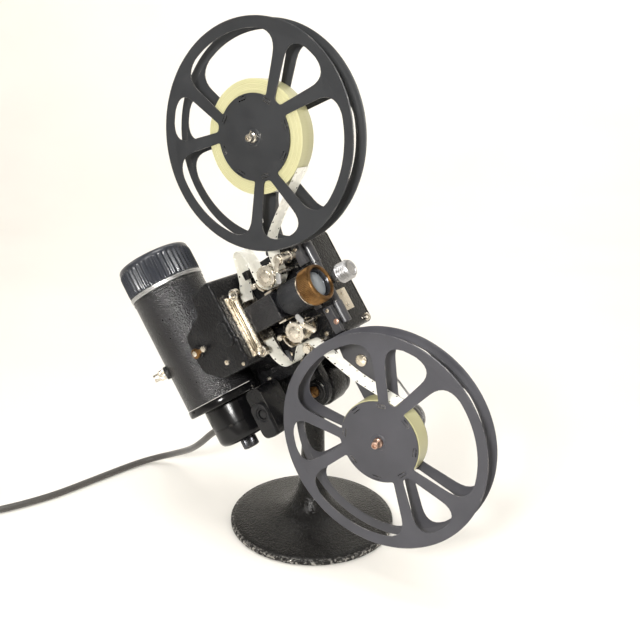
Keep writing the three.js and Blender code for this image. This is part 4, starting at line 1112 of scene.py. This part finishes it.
# ---- sprockets, shoes and rollers ----
def tooth(angle, y):
    """A rounded tooth standing on the drum."""
    stub = lathe([(0, -0.5), (0.75, -0.5), (0.75, 0), (0.62, 1.0), (0.35, 1.4), (0, 1.5)], seg=10)
    a = math.radians(angle)
    out_way = Vector((math.cos(a), 0, math.sin(a)))
    basis = Matrix((out_way.cross(across), across, out_way)).transposed()
    return moved(stub, out_way * 8.7 + Vector((0, y, 0)), matrix=basis)


for side, z, end in (("upper", UPPER_Z, -22), ("lower", LOWER_Z, -36)):
    drum = lathe([(0, -85.6), (3.6, -85.6), (4.6, -85.2), (5, -84.6), (5, -84), (8.2, -84),
                  (8.7, -83.6), (8.7, -80.9), (8.3, -80.5), (6.5, -80.5), (6.5, -71.5),
                  (8.3, -71.5), (8.7, -71.1), (8.7, -68.9), (8.2, -68.5), (3, -68.5),
                  (3, end), (0, end)], "y", 64)
    drum = minus(drum, box((-6, -86.5, -0.5), (6, -84.9, 0.5)))
    teeth = [tooth(45 * k, y) for k in range(8) for y in (-82.1, -69.9)]
    piece(f"{side}_sprocket_drum", combine(drum, *teeth), NICKEL, f"{side}_sprocket",
          body=f"{side}_sprocket", place=head_at(SPROCKET_X, 0, z))

POST = [(0, -87.4), (1.5, -87.4), (2.2, -87), (2.2, -85.6), (1.4, -85.4), (1.4, -84),
        (2.1, -83.8), (2.1, -68.2), (1.4, -68), (1.4, -60), (0, -60)]


def bar_by_sprocket(z, mirror, start, end, r, count, low, high, width):
    """A flat bar with round ends; its points are (x, z) from the sprocket's axis."""
    (x0, h0), (x1, h1) = start, end
    outline = capsule(SPROCKET_X + x0, z + mirror * h0, SPROCKET_X + x1, z + mirror * h1, r, count)
    return soften(plate(outline, low, high), width)


for side, z, mirror in (("upper", UPPER_Z, 1), ("lower", LOWER_Z, -1)):
    keeper = bar_by_sprocket(z, mirror, (12.8, -3), (20, 5.5), 2.1, 8, -86.6, -85.4, 0.25)
    post = lathe(POST, "y", 32, (SPROCKET_X + 12.8, 0, z + mirror * -3))
    tray = bar_by_sprocket(z, mirror, (-8, -12.5), (-1.3, -12.5), 0.9, 6, -84.6, -62, 0.3)
    collar = ring(3.2, 5.6, -66.4, -60.2, "y", (SPROCKET_X, 0, z), 40)
    piece(f"{side}_film_keeper", combine(keeper, post, tray, soften(collar)), NICKEL)
    tab = bar_by_sprocket(z, mirror, (13, -9.5), (14.5, -5.5), 2.4, 10, -88, -86.8, 0.3)
    piece(f"{side}_keeper_tab", tab, ALUMINIUM)
guard = plate([(42.5, 44.5), (46.6, 43.6), (46.2, 36), (44.6, 33.4), (43.2, 36)], -86.2, -85)
piece("film_guard", soften(guard, 0.3), GUNMETAL)
piece("film_guide_block", block((37.6, -83, 110.5), (42.4, -77, 117.5), 0.5), CASE_BLACK)


def shoe(side, z, start, stop, pivot, lean_at):
    outline = arc(SPROCKET_X, z, 13.4, start, stop, 14) + arc(SPROCKET_X, z, 11.9, stop, start, 14)
    curved = soften(plate(outline, -84, -68))
    boss = lathe([(0, -84.6), (1.6, -84.6), (2.1, -84.2), (2.6, -83.6), (2.6, -60.4), (0, -60.4)],
                 "y", 36, (pivot[0], 0, pivot[1]))
    a = math.radians(lean_at)
    tip = (SPROCKET_X + 12.6 * math.cos(a), z + 12.6 * math.sin(a))
    web = soften(plate(capsule(*pivot, *tip, 1.0, 6), -80, -72), 0.25)
    piece(f"{side}_film_shoe", union(curved, boss, web), NICKEL, f"{side}_shoe",
          body=f"{side}_shoe")


shoe("upper", UPPER_Z, -176, -132, (42.3, 102.7), -170)
shoe("lower", LOWER_Z, 178, 228, (42.3, 55.7), 184)
for side, x, z in ROLLERS:
    wheel = lathe([(2.3, -84), (4.3, -84), (4.7, -83.6), (4.7, -81.6), (3.9, -80.9), (3.9, -71.1),
                   (4.7, -70.4), (4.7, -68.4), (4.3, -68), (2.3, -68)], "y", 48, (x, 0, z))
    piece(f"{side}_guide_roller", wheel, NICKEL, f"{side}_roller", body=f"{side}_roller")


# ---- film, perforated along both edges ----
def tangent_point(x, z, r, target, turn):
    """Where a line from target touches a circle, on the side given by turn."""
    dx, dz = target[0] - x, target[1] - z
    base, half = math.atan2(dz, dx), math.acos(r / math.hypot(dx, dz))
    return x + r * math.cos(base + turn * half), z + r * math.sin(base + turn * half)


FILM_ON_SPROCKET, GATE_X, PERF = 10.8, 24.2, 7.62
film_path = [
    tangent_point(*UPPER_REEL[:2], UPPER_REEL[2] + 0.8, (77.5, 131.2), 1), (100, 144.6),
    (84, 135), (75.5, 128), (71.6, 118), *arc(SPROCKET_X, UPPER_Z, FILM_ON_SPROCKET, -16, -180, 9),
    (47.7, 113), (48.2, 122), (46.5, 131), (42, 135), (37.8, 131), (35, 121), (31.5, 111),
    (27, 103), (GATE_X + 0.2, 96), (GATE_X, 90), (GATE_X, 66), (GATE_X + 0.2, 58), (25.4, 48),
    (28.6, 38.5), (34, 32.8), (40.5, 32), (46, 34.8), (50.5, 39.6),
    *arc(SPROCKET_X, LOWER_Z, FILM_ON_SPROCKET, -108, -88, 2), *arc(62.5, 37.2, 5.3, 84, 28, 4),
    (73.6, 27.5), (80, 14.5), (88, 0),
    tangent_point(*LOWER_REEL[:2], LOWER_REEL[2] + 0.8, (88, 0), -1),
]
line = smooth_curve([(x, 0, z) for x, z in film_path], 10)
columns = [-8, -7.1, -5.3, 0, 5.3, 7.1, 8]
bm = bmesh.new()
fine = even_steps(line, PERF / 6)
grid = [[bm.verts.new((p.x, FILM_Y + c, p.z)) for c in columns] for p in fine]
for i in range(len(grid) - 1):
    for k in range(len(columns) - 1):
        if i % 6 == 3 and k in (1, 4):
            continue
        bm.faces.new((grid[i][k], grid[i + 1][k], grid[i + 1][k + 1], grid[i][k + 1]))
bmesh.ops.solidify(bm, geom=bm.faces[:], thickness=0.16)
piece("film_ribbon", from_bmesh(bm), FILM, "film_strip", smooth=50)

# ---- finishes on the CAD pieces that stay as they are ----
for part in frame["record"]["subparts"]:
    for material_slot in frame["nodes"][part["node"]].material_slots:
        material_slot.material = LOOKS[part["material_slot"]][0]

# ---- floor, sky and lights ----
paper = Look("floor_paper", (0.82, 0.8, 0.76), rough=0.75)
paper.color(paper.mix(paper.spots(3, 2, 0.3, 0.7), (0.83, 0.81, 0.77), (0.8, 0.78, 0.74)))
paper.bump(paper.noise(300, 3), 0.00004, 0.3)
WALL_TOP = 2600
points, faces = lathe([(0, 0), (1300, 0), (1600, 20), (1900, 110), (2150, 300), (2320, 620),
                       (2400, 1100), (2400, WALL_TOP)], seg=96)
# The profile closes on itself with a cone from the wall's top to the middle: left out.
faces = [f for f in faces if {points[i][2] for i in f} != {0, WALL_TOP}]
mesh = bpy.data.meshes.new("floor")
mesh.from_pydata([tuple(c * MM for c in v) for v in points], [], faces)
floor = add_object("floor", mesh)
for polygon in mesh.polygons:
    polygon.use_smooth = True
mesh.materials.append(paper.material)

world = bpy.data.worlds.new("studio")
world.use_nodes = True
background = world.node_tree.nodes["Background"]
background.inputs["Color"].default_value = (1.0, 0.98, 0.95, 1)
background.inputs["Strength"].default_value = 0.05
bpy.context.scene.world = world
bpy.context.scene.view_settings.view_transform = "Standard"


def area(name, at, aim, size, watts, tint=(1, 1, 1)):
    data = bpy.data.lights.new(name, "AREA")
    data.shape, data.size, data.size_y = "RECTANGLE", size[0], size[1]
    data.energy, data.color = watts, tint
    look_at = (Vector(aim) - Vector(at)).to_track_quat("-Z", "Y").to_matrix().to_4x4()
    add_object(name, data).matrix_world = Matrix.Translation(at) @ look_at


WARM = (1, 0.985, 0.96)
area("key", (0.27, -0.84, 0.54), (0, 0, 0.2), (0.13, 0.13), 9.5, WARM)
area("over", (0.1, -0.35, 1.5), (0.02, 0.25, 0), (0.8, 0.6), 13, WARM)
area("left", (-1.25, -0.6, 0.9), (-0.05, 0, 0.2), (0.25, 0.8), 3)
area("right", (1.3, 0.1, 0.8), (0, 0, 0.25), (0.25, 0.9), 3)
area("backdrop", (-0.3, 0.75, 1.75), (-0.9, 2.3, 0.25), (1.8, 0.6), 34, (1, 0.98, 0.94))
